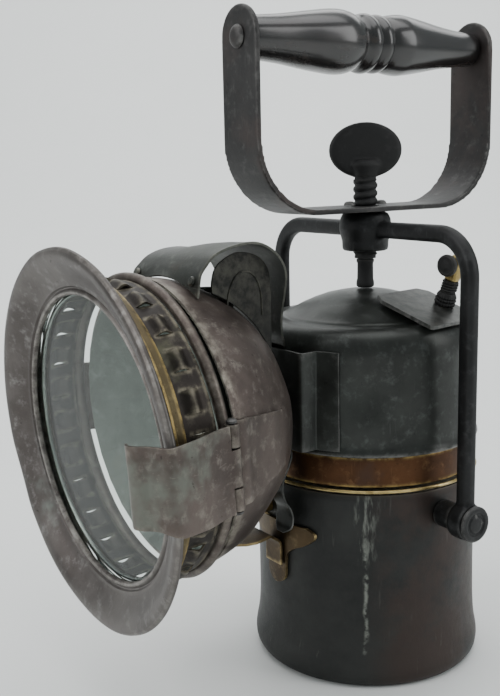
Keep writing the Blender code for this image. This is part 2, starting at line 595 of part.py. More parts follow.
# ---------------------------------------------------------------- hood over the chimney
HOOD_T = 0.8
hood_x = (-20.0, -14.0, -7.0, 0.0, 7.0, 14.0, 20.0)
rear = [(-38.95, 84.0), (-38.95, 111.0), (-41.0, 114.6), (-44.4, 118.0), (-45.0, 124.0),
        (-46.8, 132.0), (-48.0, 138.5),
        (-50.6, 143.6), (-55.2, 147.0), (-61.0, 148.6), (-67.5, 148.0), (-73.2, 145.6), (-76.8, 141.9)]
half_width = [5.8, 5.8, 9.0, 12.0, 13.0, 17.0, 20.0, 20.0, 20.0, 20.0, 20.0, 20.0, 20.0]


def bowl_top(x, y):
    """Height of the bowl's outside at a place seen from above, allowing for the head's dip."""
    local = HEAD.inverted() @ Vector((x, y, 130.0))
    reach_sq = BOWL_R ** 2 - local.x ** 2 - (local.y - BOWL_Y) ** 2
    return (HEAD @ Vector((local.x, local.y, math.sqrt(max(reach_sq, 0))))).z


def hood_drop(x, y, z, foot):
    """How far the sheet sags towards its far end, where it has been pressed down."""
    share = (z - foot) / (148.6 - foot) if y < -61 else (z - 118) / 30.6
    return 0.0925 * (20.0 - x) * max(0.0, share)


outer_rows, inner_rows = [], []
base = np.array(rear)
for k in range(len(base) + 1):
    row_out, row_in = [], []
    for x in hood_x:
        share = x / 20.0
        foot = np.array([-79.0, bowl_top(share * 20.0, -79.0) + 0.75])
        line = np.vstack([base, foot])
        line = np.array([(y, z - hood_drop(x, y, z, foot[1])) for y, z in line])
        out, inn = offset(line, -HOOD_T / 2), offset(line, HOOD_T / 2)
        width = half_width[k] if k < len(half_width) else 20.0
        row_out.append((share * width, out[k][0], out[k][1]))
        row_in.append((share * width, inn[k][0], inn[k][1]))
    outer_rows.append(row_out)
    inner_rows.append(row_in)
sheet("chimney_hood", outer_rows, inner_rows, HOOD_STEEL)
arch = [(-71.5, None), (-71.5, 138.5), (-69.0, 143.0), (-62.5, 145.4), (-56.0, 144.3),
        (-51.6, 140.0), (-50.6, 134.0),
        (-50.6, None)]
bottom = [(y, bowl_top(14.4, y) + 0.75) for y in (-50.6, -51.8, -53.4, -55.6, -58.5, -62.0, -66.5,
                                                  -71.5)]
ring = [(y, z) for y, z in arch if z is not None] + bottom
k = len(ring)
make("hood_cheek_right", [(14.6, y, z) for y, z in ring] + [(15.3, y, z) for y,
        z in ring],
     [tuple(range(k)), tuple(reversed(range(k, 2 * k)))] + [(i, (i + 1) % k, k + (i + 1) % k,
             k + i) for i in range(k)],
     HOOD_STEEL, smooth=False)
for side, sx in (("right", 1), ("left", -1)):
    rivet_turn = Vector((0, -1, 0.35)).normalized().to_track_quat("Z", "Y").to_matrix().to_4x4()
    turned("hood_rivet_" + side, [(0, 0), (1.5, 0), (1.2, 0.7), (0, 1.0)], HOOD_STEEL, segs=12,
           matrix=Matrix.Translation((sx * 16.5, -78.95, bowl_top(16.5, -79.0) + 3.6)) @ rivet_turn)

# springy tongue from the socket down to a spoon resting over the canister
tongue_path = [(-39.95, 104.0), (-39.95, 84.0), (-40.0, 78.6), (-41.4, 75.0), (-43.2, 70.6),
               (-43.6, 66.4), (-42.6, 62.6),
               (-41.4, 60.2), (-41.0, 57.4), (-41.7, 54.0), (-43.2, 52.2)]
tongue_half = [5.2, 8.5, 9.0, 6.5, 4.6, 3.6, 3.4, 3.8, 4.4, 4.2, 2.6]
tongue_mid = [0, 0, 1.5, 4.5, 6.0, 6.8, 7.2, 7.6, 7.8, 7.9, 7.9]
ribbon("spring_tongue", tongue_path, 0.7, [[m - h, m, m + h] for m,
                                           h in zip(tongue_mid, tongue_half)], TANK_STEEL)

# ---------------------------------------------------------------- bracket that carries the bowl
plate_rows = [(31.2, 1.0), (32.2, 3.0), (34.5, 4.6), (39.0, 4.9), (42.5, 5.6), (45.0, 8.6),
              (47.0, 13.0), (49.5, 16.4),
              (51.6, 16.6), (53.2, 13.6)]
columns = 11


def on_can(radius):
    grid = []
    for c in range(columns):
        s = -1 + 2 * c / (columns - 1)
        turns = [(s * half / radius, z) for z, half in plate_rows]
        grid.append([(radius * math.sin(a), -radius * math.cos(a), z) for a, z in turns])
    return grid


sheet("bracket_plate", on_can(39.4), on_can(38.35), COPPER)
arm_path = bend([(-40.2, 38.5), (-40.2, 46.6), (-45.6, 50.2), (-57.0, 51.0), (-65.0, 52.7), (-72.0, 50.1),
                 (-78.5, 48.1)],
                [3.0, 3.0, 6.0, 5.0, 6.0], 3)
arm_half = []
for y, z in arm_path:
    arm_half.append(4.2 + 4.8 * min(1.0, max(0.0, (-y - 41.0) / 12.0)))
ribbon("cradle_arm", arm_path, 0.9, [[-h, 0, h] for h in arm_half], COPPER)

# ---------------------------------------------------------------- clasps that hold the bell on
def curl(cx, cy, r, start, stop, steps=9):
    return [(cx + r * math.cos(math.radians(start + (stop - start) * k / steps)),
             cy + r * math.sin(math.radians(start + (stop - start) * k / steps))) for k in range(steps + 1)]


PIN = [(0, CLASP_LOW - 0.9), (1.5, CLASP_LOW - 0.8), (1.5, CLASP_LOW + 0.05), (0.8, CLASP_LOW + 0.1),
       (0.8, CLASP_HIGH + 0.1), (1.5, CLASP_HIGH + 0.15), (1.5, CLASP_HIGH + 1.0),
       (0, CLASP_HIGH + 1.3)]
leaf = curl(CLASP_X, CLASP_Y, 1.55, 450, 180) + [
    (CLASP_X - 1.6, 12.8), (CLASP_X - 3.6, 16.4), (44.4, 21.5), (41.8, 27.4), (39.0, 32.0)]
heights = []
for k in range(len(leaf)):
    fade = 1 - 0.3 * max(0.0, (k - 11) / 3.0)
    heights.append([v * fade for v in (CLASP_LOW + 0.4, -5.6, 5.6, CLASP_HIGH - 0.2)])
ribbon("clasp_leaf_right", np.array(leaf), 0.8, heights, BRONZE, plane="XY", matrix=HEAD,
       keep=lambda i, j: not (i < 10 and j == 1))
# the plate slopes out over the rim's front, dips, and ends in a finger lip
plate = curl(CLASP_X, CLASP_Y, 1.55, 270, 0) + [
    (CLASP_X + 1.75, 4.4), (55.4, -4.0), (57.6, -11.6), (58.0, -14.2), (57.2, -15.6), (54.8, -17.2),
    (52.8, -18.4), (51.2, -20.0), (48.9, -21.2), (46.8, -20.6)]
heights = []
for k in range(len(plate)):
    narrow = min(1.0, max(0.0, (k - 11) / 4.0))
    heights.append([CLASP_LOW + 2.8 * narrow, -5.2, 5.2, CLASP_HIGH + 0.6 * narrow])
ribbon("clasp_right", np.array(plate), 0.8, heights, BRONZE, plane="XY", matrix=HEAD,
       keep=lambda i, j: not (i < 10 and j != 1), pivot=HEAD @ Vector((CLASP_X, CLASP_Y, 0)))
turned("clasp_pin_right", PIN, STRAP_STEEL, at=(CLASP_X, CLASP_Y, 0), matrix=HEAD, segs=14)

# ---------------------------------------------------------------- hinge on the head's far side
HINGE_X, HINGE_Y = 50.4, -2.85
far = np.array([-1, 1])
leaf = curl(HINGE_X, HINGE_Y, 1.55, 450, 180) + [(48.85, 0.5), (48.4, 9.0), (47.9, 12.5), (45.8, 17.0),
                                                 (43.8, 23.0), (41.8, 28.0)]
ribbon("front_hinge_leaf", np.array(leaf) * far, 0.8, [CLASP_LOW + 0.4, -5.6, 5.6, CLASP_HIGH - 0.2],
       BRONZE, plane="XY", matrix=HEAD, keep=lambda i, j: not (i < 10 and j == 1))
strap_leaf = curl(HINGE_X, HINGE_Y, 1.55, -90, 180) + [(48.95, -5.0), (48.95, -7.2)]
ribbon("front_hinge_strap", np.array(strap_leaf) * far, 0.8, [-11.5, -5.2, 5.2, 11.5], BRONZE,
       plane="XY", matrix=HEAD, keep=lambda i, j: not (i < 10 and j != 1))
turned("front_hinge_pin", PIN, STRAP_STEEL, at=(-HINGE_X, HINGE_Y, 0), matrix=HEAD, segs=14)
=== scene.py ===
"""Looks of the acetylene hand lamp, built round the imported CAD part.

Sizes are in millimetres in the row frame (+Z up, beam to -Y) and become metres in build().
Every visible node gets a finer piece of the same shape; inner nodes keep their CAD mesh.
"""
import math

import bmesh
import bpy
import numpy as np
from mathutils import Matrix, Vector, noise


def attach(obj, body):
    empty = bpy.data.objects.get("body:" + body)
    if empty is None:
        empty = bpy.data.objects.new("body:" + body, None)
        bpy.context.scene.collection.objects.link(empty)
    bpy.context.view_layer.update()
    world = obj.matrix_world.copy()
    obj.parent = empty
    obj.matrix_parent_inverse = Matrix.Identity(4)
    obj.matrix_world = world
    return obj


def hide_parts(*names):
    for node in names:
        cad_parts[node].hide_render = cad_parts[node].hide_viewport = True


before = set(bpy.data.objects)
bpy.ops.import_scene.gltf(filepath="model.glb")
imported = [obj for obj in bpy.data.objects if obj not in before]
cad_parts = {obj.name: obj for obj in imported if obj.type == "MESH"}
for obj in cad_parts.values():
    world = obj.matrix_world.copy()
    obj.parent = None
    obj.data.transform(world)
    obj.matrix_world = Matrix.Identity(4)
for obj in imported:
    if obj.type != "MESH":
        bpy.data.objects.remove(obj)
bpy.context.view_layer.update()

MM = 0.001
EYE = Matrix.Identity(4)
HEAD = Matrix.Translation((0, -96.0, 92.9)) @ Matrix.Rotation(math.radians(3.5), 4, "X")
HALF_TURN = Matrix.Rotation(math.pi, 4, "Z")
SIDES = (("right", 1), ("left", -1))
PIVOT_Z = 58.0                  # yoke rivets
GRIP_Z = 208.8                  # axis of the wooden grip
CLASP_PIN = (50.6, 8.0)         # hinge pins in the head's own X and Y
FAR_PIN = (50.4, -2.85)
KNUCKLE = 1.55                  # radius of a rolled hinge, to the middle of its sheet
HOOD_TOP, HOOD_BEND = 148.6, 118.0
HOOD_SAG = 0.0925               # mm down for each mm towards the far end
LOOK_WAY = (-0.829, 0.559)      # the camera's heading over the floor
DIP = (0.983, 0.184)            # cosine and sine of the camera's tilt down
ROLL = 0.0209
LUMP_OFFSETS = ((0, 0, 0), (31.4, 0, 7.3), (0, 57.1, 19.9))


# ---- materials
class Look:
    """A procedural material under construction; all textures use the row frame's metres."""

    def __init__(self, name):
        self.mat = bpy.data.materials.new(name)
        self.mat.use_nodes = True
        self.tree = self.mat.node_tree
        self.shader = self.tree.nodes["Principled BSDF"]
        self.place = self.add("ShaderNodeTexCoord").outputs["Object"]

    def add(self, kind, **inputs):
        node = self.tree.nodes.new(kind)
        for key, value in inputs.items():
            self.put(node.inputs[key.replace("_", " ")], value)
        return node

    def put(self, socket, value):
        if isinstance(value, bpy.types.NodeSocket):
            self.tree.links.new(value, socket)
        elif hasattr(value, "__len__") and len(value) == 3 and socket.type == "RGBA":
            socket.default_value = (*value, 1.0)
        else:
            socket.default_value = value

    def noise(self, scale, detail=5.0, rough=0.6, stretch=(1, 1, 1), shift=0.0):
        spot = self.add("ShaderNodeMapping", Vector=self.place)
        spot.inputs["Scale"].default_value = stretch
        spot.inputs["Location"].default_value = (shift, shift * 0.7, shift * 0.3)
        grain = self.add("ShaderNodeTexNoise", Vector=spot.outputs[0], Scale=scale, Detail=detail, Roughness=rough)
        return grain.outputs["Fac"]

    def ramp(self, value, low, high):
        step = self.add("ShaderNodeMapRange", Value=value)
        step.interpolation_type = "SMOOTHSTEP"
        step.inputs["From Min"].default_value = low
        step.inputs["From Max"].default_value = high
        return step.outputs[0]

    def math(self, how, a, b=0.0):
        step = self.tree.nodes.new("ShaderNodeMath")
        step.operation = how
        self.put(step.inputs[0], a)
        self.put(step.inputs[1], b)
        return step.outputs[0]

    def mix(self, share, a, b):
        step = self.tree.nodes.new("ShaderNodeMix")
        step.data_type = "RGBA"
        self.put(step.inputs[0], share)
        self.put(step.inputs[6], a)
        self.put(step.inputs[7], b)
        return step.outputs[2]

    def range(self, value, low, high):
        step = self.add("ShaderNodeMapRange", Value=value)
        step.inputs["To Min"].default_value = low
        step.inputs["To Max"].default_value = high
        return step.outputs[0]

    def bump(self, height, strength, distance=0.0004):
        self.put(self.shader.inputs["Normal"],
            self.add("ShaderNodeBump", Height=height, Strength=strength, Distance=distance).outputs[0])

    def finish(self, colour, rough, metallic):
        self.put(self.shader.inputs["Base Color"], colour)
        self.put(self.shader.inputs["Roughness"], rough)
        self.put(self.shader.inputs["Metallic"], metallic)
        return self.mat


def aged(name, dark, base, light, metallic=0.75, rough=(0.34, 0.6), wear=None, wear_amount=0.6, patch=None,
    patch_at=0.56, along="Z", scratch=0.35, bump=0.25, shift=0.0, grime=0.5):
    """Old metal: clouded tone, patches of another tone, fine mottling, scratches along an axis, rubbed edges."""
    look = Look(name)
    cloud = look.ramp(look.noise(42, 6, 0.62, shift=shift), 0.32, 0.68)
    mottle = look.noise(260, 7, 0.68, shift=shift + 3)
    fine = look.noise(1100, 4, 0.7, shift=shift + 5)
    colour = look.mix(cloud, dark, base)
    colour = look.mix(look.math("MULTIPLY", look.ramp(mottle, 0.5, 0.74), 0.55), colour, light)
    if patch:
        spots = look.ramp(look.noise(24, 5, 0.66, shift=shift + 9), patch_at, patch_at + 0.13)
        colour = look.mix(look.math("MULTIPLY", spots, 0.7), colour, patch)
    stretch = {"X": (0.06, 1, 1), "Y": (1, 0.06, 1), "Z": (1, 1, 0.06)}[along]
    lines = look.ramp(look.noise(1500, 3, 0.55, stretch, shift + 1), 0.63, 0.73)
    lines = look.math("MULTIPLY", lines, look.ramp(look.noise(60, 3, 0.6, shift=shift + 7), 0.45, 0.7))
    colour = look.mix(look.math("MULTIPLY", lines, scratch), colour, light)
    pits = look.ramp(look.noise(520, 3, 0.6, shift=shift + 12), 0.66, 0.74)
    colour = look.mix(look.math("MULTIPLY", pits, grime), colour, tuple(c * 0.35 for c in dark))
    rubbed = None
    if wear:
        edge = look.tree.nodes.new("ShaderNodeNewGeometry").outputs["Pointiness"]
        rubbed = look.math("MULTIPLY", look.ramp(edge, 0.515, 0.57), look.ramp(mottle, 0.34, 0.6))
        rubbed = look.math("MULTIPLY", rubbed, wear_amount)
        colour = look.mix(rubbed, colour, wear)
    gloss = look.range(look.math("ADD", look.math("MULTIPLY", mottle, 0.6), look.math("MULTIPLY", cloud, 0.4)), *rough)
    height = look.math("ADD", look.math("MULTIPLY", mottle, 0.7), look.math("MULTIPLY", fine, 0.25))
    height = look.math("ADD", height, look.math("MULTIPLY", lines, -0.4))
    look.bump(height, bump)
    return look.finish(colour, gloss, metallic)


def canister_look():
    """Dark browned steel with a rubbed vertical seam at the front and reddish patches on the right."""
    look = Look("canister_steel")
    cloud = look.ramp(look.noise(40, 6, 0.62), 0.3, 0.7)
    mottle = look.noise(280, 7, 0.7, shift=2)
    fine = look.noise(1200, 4, 0.7, shift=4)
    colour = look.mix(cloud, (0.014, 0.015, 0.0145), (0.03, 0.031, 0.029))
    red = look.ramp(look.noise(30, 6, 0.68, shift=6), 0.38, 0.54)
    split = look.tree.nodes.new("ShaderNodeSeparateXYZ")
    look.put(split.inputs[0], look.place)
    x, y, z = split.outputs
    angle = look.math("ARCTAN2", y, x)
    right = look.ramp(angle, -0.78, -0.35)
    colour = look.mix(look.math("MULTIPLY", red, look.math("MULTIPLY", right, 0.7)), colour, (0.042, 0.026, 0.021))
    worn = look.noise(900, 4, 0.6, (1, 1, 0.05), 8)
    streaks = look.math("MULTIPLY", look.ramp(worn, 0.58, 0.7), look.ramp(look.noise(55, 3, shift=10), 0.5, 0.72))
    colour = look.mix(look.math("MULTIPLY", streaks, 0.5), colour, (0.11, 0.105, 0.095))
    wobble = look.math("MULTIPLY", look.math("SUBTRACT", look.noise(90, 3, shift=14), 0.5), 0.09)
    away = look.math("ABSOLUTE", look.math("ADD", look.math("ADD", angle, 0.705), wobble))
    broad = look.math("SUBTRACT", 1.0, look.ramp(away, 0.0, 0.15))
    narrow = look.math("SUBTRACT", 1.0, look.ramp(away, 0.0, 0.028))
    upper = look.ramp(z, 0.041, 0.047)
    rubbed = look.math("MULTIPLY", look.math("MULTIPLY", broad, upper),
        look.ramp(look.noise(420, 4, 0.6, (1, 1, 0.22), 16), 0.52, 0.68))
    line = look.math("MULTIPLY", look.math("MULTIPLY", narrow, look.ramp(look.noise(260, 3, shift=18), 0.4, 0.6)),
        look.math("MULTIPLY", look.ramp(z, 0.01, 0.014),
        look.math("SUBTRACT", 1.0, look.ramp(z, 0.045, 0.058))))
    seam = look.math("MAXIMUM", look.math("MULTIPLY", rubbed, 0.75), line)
    colour = look.mix(seam, colour, (0.2, 0.21, 0.185))
    edge = look.tree.nodes.new("ShaderNodeNewGeometry").outputs["Pointiness"]
    colour = look.mix(look.math("MULTIPLY", look.ramp(edge, 0.52, 0.58), 0.35), colour, (0.16, 0.14, 0.11))
    look.bump(look.math("ADD", look.math("MULTIPLY", mottle, 0.7),
        look.math("ADD", look.math("MULTIPLY", fine, 0.25), look.math("MULTIPLY", seam, 0.4))), 0.28)
    return look.finish(colour, look.range(mottle, 0.36, 0.62), 0.55)


def grip_look():
    look = Look("black_wood")
    grain = look.noise(420, 5, 0.6, (1, 0.05, 1), 2)
    thin = look.ramp(look.noise(120, 5, 0.65, (1, 0.4, 1), 4), 0.58, 0.72)
    colour = look.mix(look.ramp(grain, 0.4, 0.7), (0.006, 0.0055, 0.0055), (0.015, 0.012, 0.011))
    colour = look.mix(look.math("MULTIPLY", thin, 0.35), colour, (0.05, 0.026, 0.014))
    edge = look.tree.nodes.new("ShaderNodeNewGeometry").outputs["Pointiness"]
    colour = look.mix(look.math("MULTIPLY", look.ramp(edge, 0.53, 0.6), 0.5), colour, (0.09, 0.06, 0.035))
    look.bump(look.math("ADD", grain, look.math("MULTIPLY", thin, 0.3)), 0.1, 0.0002)
    look.shader.inputs["Coat Weight"].default_value = 0.45
    look.shader.inputs["Coat Roughness"].default_value = 0.14
    return look.finish(colour, look.range(thin, 0.26, 0.42), 0.0)


def glass_look():
    look = Look("old_glass")
    film = look.noise(70, 4, 0.6)
    colour = look.mix(film, (0.80, 0.86, 0.83), (0.90, 0.94, 0.92))
    look.shader.inputs["Transmission Weight"].default_value = 1.0
    # below real glass, 1.5: seen this far from the side, a flat pane would mirror the bright floor
    look.shader.inputs["IOR"].default_value = 1.15
    look.bump(look.noise(30, 2), 0.03, 0.0003)
    return look.finish(colour, look.range(look.ramp(look.noise(160, 5, 0.7, shift=5), 0.5, 0.7), 0.015, 0.06), 0.0)


def soft_look(name, dark, light, rough, scale=600):
    look = Look(name)
    grain = look.noise(scale, 6, 0.7)
    look.bump(grain, 0.35)
    return look.finish(look.mix(look.ramp(grain, 0.3, 0.7), dark, light), rough, 0.0)


WORN = (0.24, 0.235, 0.225)
YELLOW = (0.55, 0.4, 0.15)
MATS = {
    "canister": canister_look(),
    "tank": aged("tank_steel", (0.018, 0.0195, 0.0175), (0.035, 0.039, 0.035), (0.085, 0.092, 0.088), 0.55,
    (0.26, 0.5), WORN, 0.55, (0.05, 0.04, 0.036), 0.6, scratch=0.3, bump=0.22),
    "forged": aged("forged_steel", (0.0065, 0.0068, 0.007), (0.0155, 0.016, 0.0165), (0.05, 0.051, 0.053), 0.5,
    (0.36, 0.62), WORN, 0.35, (0.034, 0.027, 0.023), 0.6, scratch=0.25, bump=0.4, shift=20),
    "screw": aged("screw_steel", (0.0022, 0.0022, 0.0022), (0.005, 0.005, 0.005), (0.022, 0.022, 0.022), 0.1,
    (0.55, 0.8), (0.06, 0.057, 0.05), 0.4, scratch=0.15, bump=0.4, shift=30),
    "strap": aged("strap_steel", (0.018, 0.0175, 0.0175), (0.036, 0.0345, 0.034), (0.10, 0.097, 0.094), 0.6,
    (0.36, 0.6), WORN, 0.45, (0.055, 0.042, 0.039), 0.5, scratch=0.4, bump=0.3, shift=40),
    "bronze": aged("browned_bronze", (0.055, 0.042, 0.037), (0.118, 0.094, 0.083), (0.26, 0.235, 0.205), 0.72,
    (0.36, 0.58), (0.33, 0.3, 0.25), 0.55, (0.15, 0.165, 0.14), 0.58, "Y", 0.4, 0.28, 50, 0.6),
    "bezel": aged("bezel_bronze", (0.064, 0.055, 0.051), (0.128, 0.116, 0.109), (0.26, 0.25, 0.243), 0.75,
    (0.36, 0.56), (0.36, 0.34, 0.31), 0.6, (0.16, 0.185, 0.165), 0.57, "Z", 0.35, 0.26, 60, 0.7),
    "drum": aged("drum_bronze", (0.014, 0.011, 0.0095), (0.033, 0.027, 0.023), (0.10, 0.088, 0.07), 0.7,
    (0.38, 0.6), (0.3, 0.27, 0.2), 0.5, (0.10, 0.105, 0.06), 0.55, "Y", 0.3, 0.35, 70, 0.7),
    "inside": aged("lamp_inside", (0.15, 0.17, 0.155), (0.23, 0.258, 0.236), (0.34, 0.375, 0.345), 0.35,
    (0.5, 0.7), None, 0, (0.24, 0.23, 0.19), 0.6, "Y", 0.15, 0.15, 75, 0.3),
    "hood": aged("hood_steel", (0.03, 0.032, 0.028), (0.062, 0.066, 0.058), (0.15, 0.155, 0.14), 0.65,
    (0.36, 0.56), (0.24, 0.23, 0.19), 0.5, (0.06, 0.045, 0.036), 0.6, "X", 0.3, 0.28, 80),
    # the hood's steel again, much darker: painted shade for the near cheek, which sits in the shade under the hood
    "cheek": aged("cheek_steel_painted_shade", (0.005, 0.005, 0.0045), (0.011, 0.0113, 0.0098), (0.038, 0.039, 0.034), 0.6,
    (0.4, 0.6), (0.13, 0.125, 0.10), 0.4, (0.024, 0.018, 0.014), 0.6, "X", 0.3, 0.28, 85),
    "collar": aged("collar_brass", (0.055, 0.042, 0.022), (0.12, 0.095, 0.05), (0.27, 0.215, 0.11), 0.85,
    (0.36, 0.55), YELLOW, 0.6, (0.10, 0.08, 0.06), 0.55, "Y", 0.3, 0.3, 90, 0.7),
    "brass": aged("rubbed_brass", (0.2, 0.145, 0.05), (0.42, 0.31, 0.115), (0.72, 0.58, 0.28), 0.8,
    (0.22, 0.45), (0.8, 0.65, 0.32), 0.6, (0.10, 0.075, 0.04), 0.54, "Z", 0.3, 0.25, 100, 0.7),
    "copper": aged("brown_copper", (0.034, 0.016, 0.008), (0.09, 0.04, 0.017), (0.2, 0.11, 0.05), 0.85,
    (0.3, 0.5), YELLOW, 0.6, (0.05, 0.03, 0.022), 0.56, "Z", 0.3, 0.2, 110, 0.5),
    "bracket": aged("bracket_brass", (0.035, 0.024, 0.014), (0.085, 0.058, 0.03), (0.2, 0.15, 0.08), 0.85,
    (0.32, 0.55), (0.75, 0.58, 0.28), 0.6, (0.13, 0.065, 0.03), 0.52, "Z", 0.3, 0.3, 115, 0.5),
    "tinned": aged("tinned_sheet", (0.25, 0.26, 0.25), (0.42, 0.44, 0.42), (0.6, 0.62, 0.6), 0.9,
    (0.22, 0.4), None, 0, None, shift=120, bump=0.12),
    "grip": grip_look(),
    "glass": glass_look(),
    "felt": soft_look("felt_pad", (0.3, 0.27, 0.21), (0.55, 0.5, 0.42), 0.95),
    "rubber": soft_look("seal_rubber", (0.012, 0.012, 0.012), (0.03, 0.03, 0.03), 0.8),
    "steatite": soft_look("burner_steatite", (0.45, 0.42, 0.35), (0.7, 0.67, 0.6), 0.6, 900),
}


# ---- mesh helpers
def build(name, verts, faces, look, body="lamp_body", node=None, matrix=EYE, bevel=0.0, warp=None, smooth=35):
    """A piece of the lamp from points in mm; it rides on `body` and stands for CAD node `node`."""
    mesh = bpy.data.meshes.new(name)
    points = [matrix @ Vector(v) for v in verts]
    if warp:
        points = [p + warp(p) for p in points]
    mesh.from_pydata([p * MM for p in points], [], faces)
    work = bmesh.new()
    work.from_mesh(mesh)
    bmesh.ops.remove_doubles(work, verts=work.verts, dist=0.000004)
    bmesh.ops.dissolve_degenerate(work, edges=work.edges, dist=0.000001)
    bmesh.ops.recalc_face_normals(work, faces=work.faces)
    work.to_mesh(mesh)
    work.free()
    piece = bpy.data.objects.new(name, mesh)
    bpy.context.scene.collection.objects.link(piece)
    mesh.materials.append(MATS[look])
    mesh.shade_smooth()
    mesh.set_sharp_from_angle(angle=math.radians(smooth))
    if bevel:
        edge = piece.modifiers.new("bevel", "BEVEL")
        edge.width = bevel * MM
        edge.segments = 2
        edge.limit_method = "ANGLE"
        edge.angle_limit = math.radians(40)
        edge.harden_normals = True
    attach(piece, body)
    if node:
        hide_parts(node)
    return piece


def spline(points, steps=6):
    """Smooth curve through 2D or 3D points."""
    pts = [np.asarray(p, float) for p in points]
    pts = [2 * pts[0] - pts[1]] + pts + [2 * pts[-1] - pts[-2]]
    out = []
    for k in range(1, len(pts) - 2):
        p0, p1, p2, p3 = pts[k - 1:k + 3]
        for s in range(steps):
            t = s / steps
            out.append(0.5 * (2 * p1 + (p2 - p0) * t + (2 * p0 - 5 * p1 + 4 * p2 - p3) * t * t
                + (3 * p1 - p0 - 3 * p2 + p3) * t ** 3))
    out.append(pts[-2])
    return [tuple(p) for p in out]


def dense(profile, step=2.0):
    """Closed profile with points added so that no side is longer than step."""
    out = []
    for k, a in enumerate(profile):
        b = profile[(k + 1) % len(profile)]
        parts = max(1, math.ceil(math.dist(a, b) / step))
        out += [tuple(np.array(a) + (np.array(b) - np.array(a)) * s / parts) for s in range(parts)]
    return out


def turned(name, profile, look, body="lamp_body", node=None, axis="Z", at=(0, 0, 0), matrix=EYE, segs=96,
    bevel=0.0, warp=None, radial=None, smooth=35):
    """Closed profile [(radius, height)] turned about an axis through `at`; radial(angle, r, h) adds to r."""
    verts, faces, rings = [], [], []
    for r, h in profile:
        if r < 1e-6:
            rings.append([len(verts)])
            verts.append((0, 0, h))
            continue
        rings.append(list(range(len(verts), len(verts) + segs)))
        for i in range(segs):
            a = 2 * math.pi * i / segs
            q = r + (radial(a, r, h) if radial else 0)
            verts.append((q * math.cos(a), q * math.sin(a), h))
    for k in range(len(rings)):
        a, b = rings[k], rings[(k + 1) % len(rings)]
        if len(a) == 1 and len(b) == 1:
            continue
        for i in range(segs):
            j = (i + 1) % segs
            if len(a) == 1:
                faces.append((a[0], b[i], b[j]))
            elif len(b) == 1:
                faces.append((a[i], b[0], a[j]))
            else:
                faces.append((a[i], b[i], b[j], a[j]))
    turn = {"Z": EYE, "Y": Matrix(((1, 0, 0, 0), (0, 0, 1, 0), (0, -1, 0, 0), (0, 0, 0, 1))),
        "X": Matrix(((0, 0, 1, 0), (0, 1, 0, 0), (-1, 0, 0, 0), (0, 0, 0, 1)))}[axis]
    return build(name, verts, faces, look, body, node, matrix @ Matrix.Translation(at) @ turn, bevel, warp, smooth)


def sheet(name, outer, inner, look, body="lamp_body", node=None, keep=None, wrap=False, matrix=EYE, bevel=0.0,
    warp=None, smooth=35):
    """Solid from two grids of points; keep(i, j) leaves a cell in, wrap closes the i direction."""
    outer, inner = np.asarray(outer, float), np.asarray(inner, float)
    ni, nj = outer.shape[:2]
    verts = [tuple(p) for p in outer.reshape(-1, 3)] + [tuple(p) for p in inner.reshape(-1, 3)]
    half = ni * nj
    cells = {(i, j) for i in range(ni if wrap else ni - 1) for j in range(nj - 1) if keep is None or keep(i, j)}
    faces = []
    for i, j in sorted(cells):
        i2 = (i + 1) % ni
        a, b, c, d = i * nj + j, i2 * nj + j, i2 * nj + j + 1, i * nj + j + 1
        faces.append((a, b, c, d))
        faces.append((half + d, half + c, half + b, half + a))
        for near, (p, q) in (((i, j - 1), (a, b)), ((i2 if wrap else i + 1, j), (b, c)),
            ((i, j + 1), (c, d)), (((i - 1) % ni if wrap else i - 1, j), (d, a))):
            if near not in cells:
                faces.append((q, p, half + p, half + q))
    used = sorted({v for f in faces for v in f})
    number = {v: k for k, v in enumerate(used)}
    return build(name, [verts[v] for v in used], [tuple(number[v] for v in f) for f in faces],
        look, body, node, matrix, bevel, warp, smooth)


def offset(path, by):
    path = np.asarray(path, float)
    out = []
    for k in range(len(path)):
        a, b = path[max(k - 1, 0)], path[min(k + 1, len(path) - 1)]
        before = path[k] - a if k else b - path[k]
        after = b - path[k] if k < len(path) - 1 else before
        n1 = np.array([-before[1], before[0]]) / np.hypot(*before)
        n2 = np.array([-after[1], after[0]]) / np.hypot(*after)
        n = n1 + n2
        n /= np.hypot(*n)
        out.append(path[k] + n * by / max(n @ n1, 0.5))
    return np.array(out)


def bend(points, radius, steps=10):
    """2D polyline with its inner corners rounded."""
    points = [np.asarray(p, float) for p in points]
    radii = radius if isinstance(radius, (list, tuple)) else [radius] * (len(points) - 2)
    out = [points[0]]
    for k in range(1, len(points) - 1):
        p, r = points[k], radii[k - 1]
        u, v = points[k - 1] - p, points[k + 1] - p
        u, v = u / np.hypot(*u), v / np.hypot(*v)
        half = math.acos(max(-1, min(1, float(u @ v)))) / 2
        if r <= 0 or half > math.pi / 2 - 0.01:
            out.append(p)
            continue
        reach = r / math.tan(half)
        centre = p + (u + v) / np.hypot(*(u + v)) * r / math.sin(half)
        a, b = p + u * reach - centre, p + v * reach - centre
        turn = math.atan2(a[0] * b[1] - a[1] * b[0], float(a @ b))
        for s in range(steps + 1):
            t = turn * s / steps
            out.append(centre + np.array([a[0] * math.cos(t) - a[1] * math.sin(t),
                a[0] * math.sin(t) + a[1] * math.cos(t)]))
    out.append(points[-1])
    return np.array(out)


def refine(path, step=3.0):
    """Polyline with long runs cut into short ones."""
    out = []
    for a, b in zip(path[:-1], path[1:]):
        parts = max(1, math.ceil(math.dist(a, b) / step))
        out += [np.asarray(a) + (np.asarray(b) - np.asarray(a)) * s / parts for s in range(parts)]
    return np.array(out + [np.asarray(path[-1])])


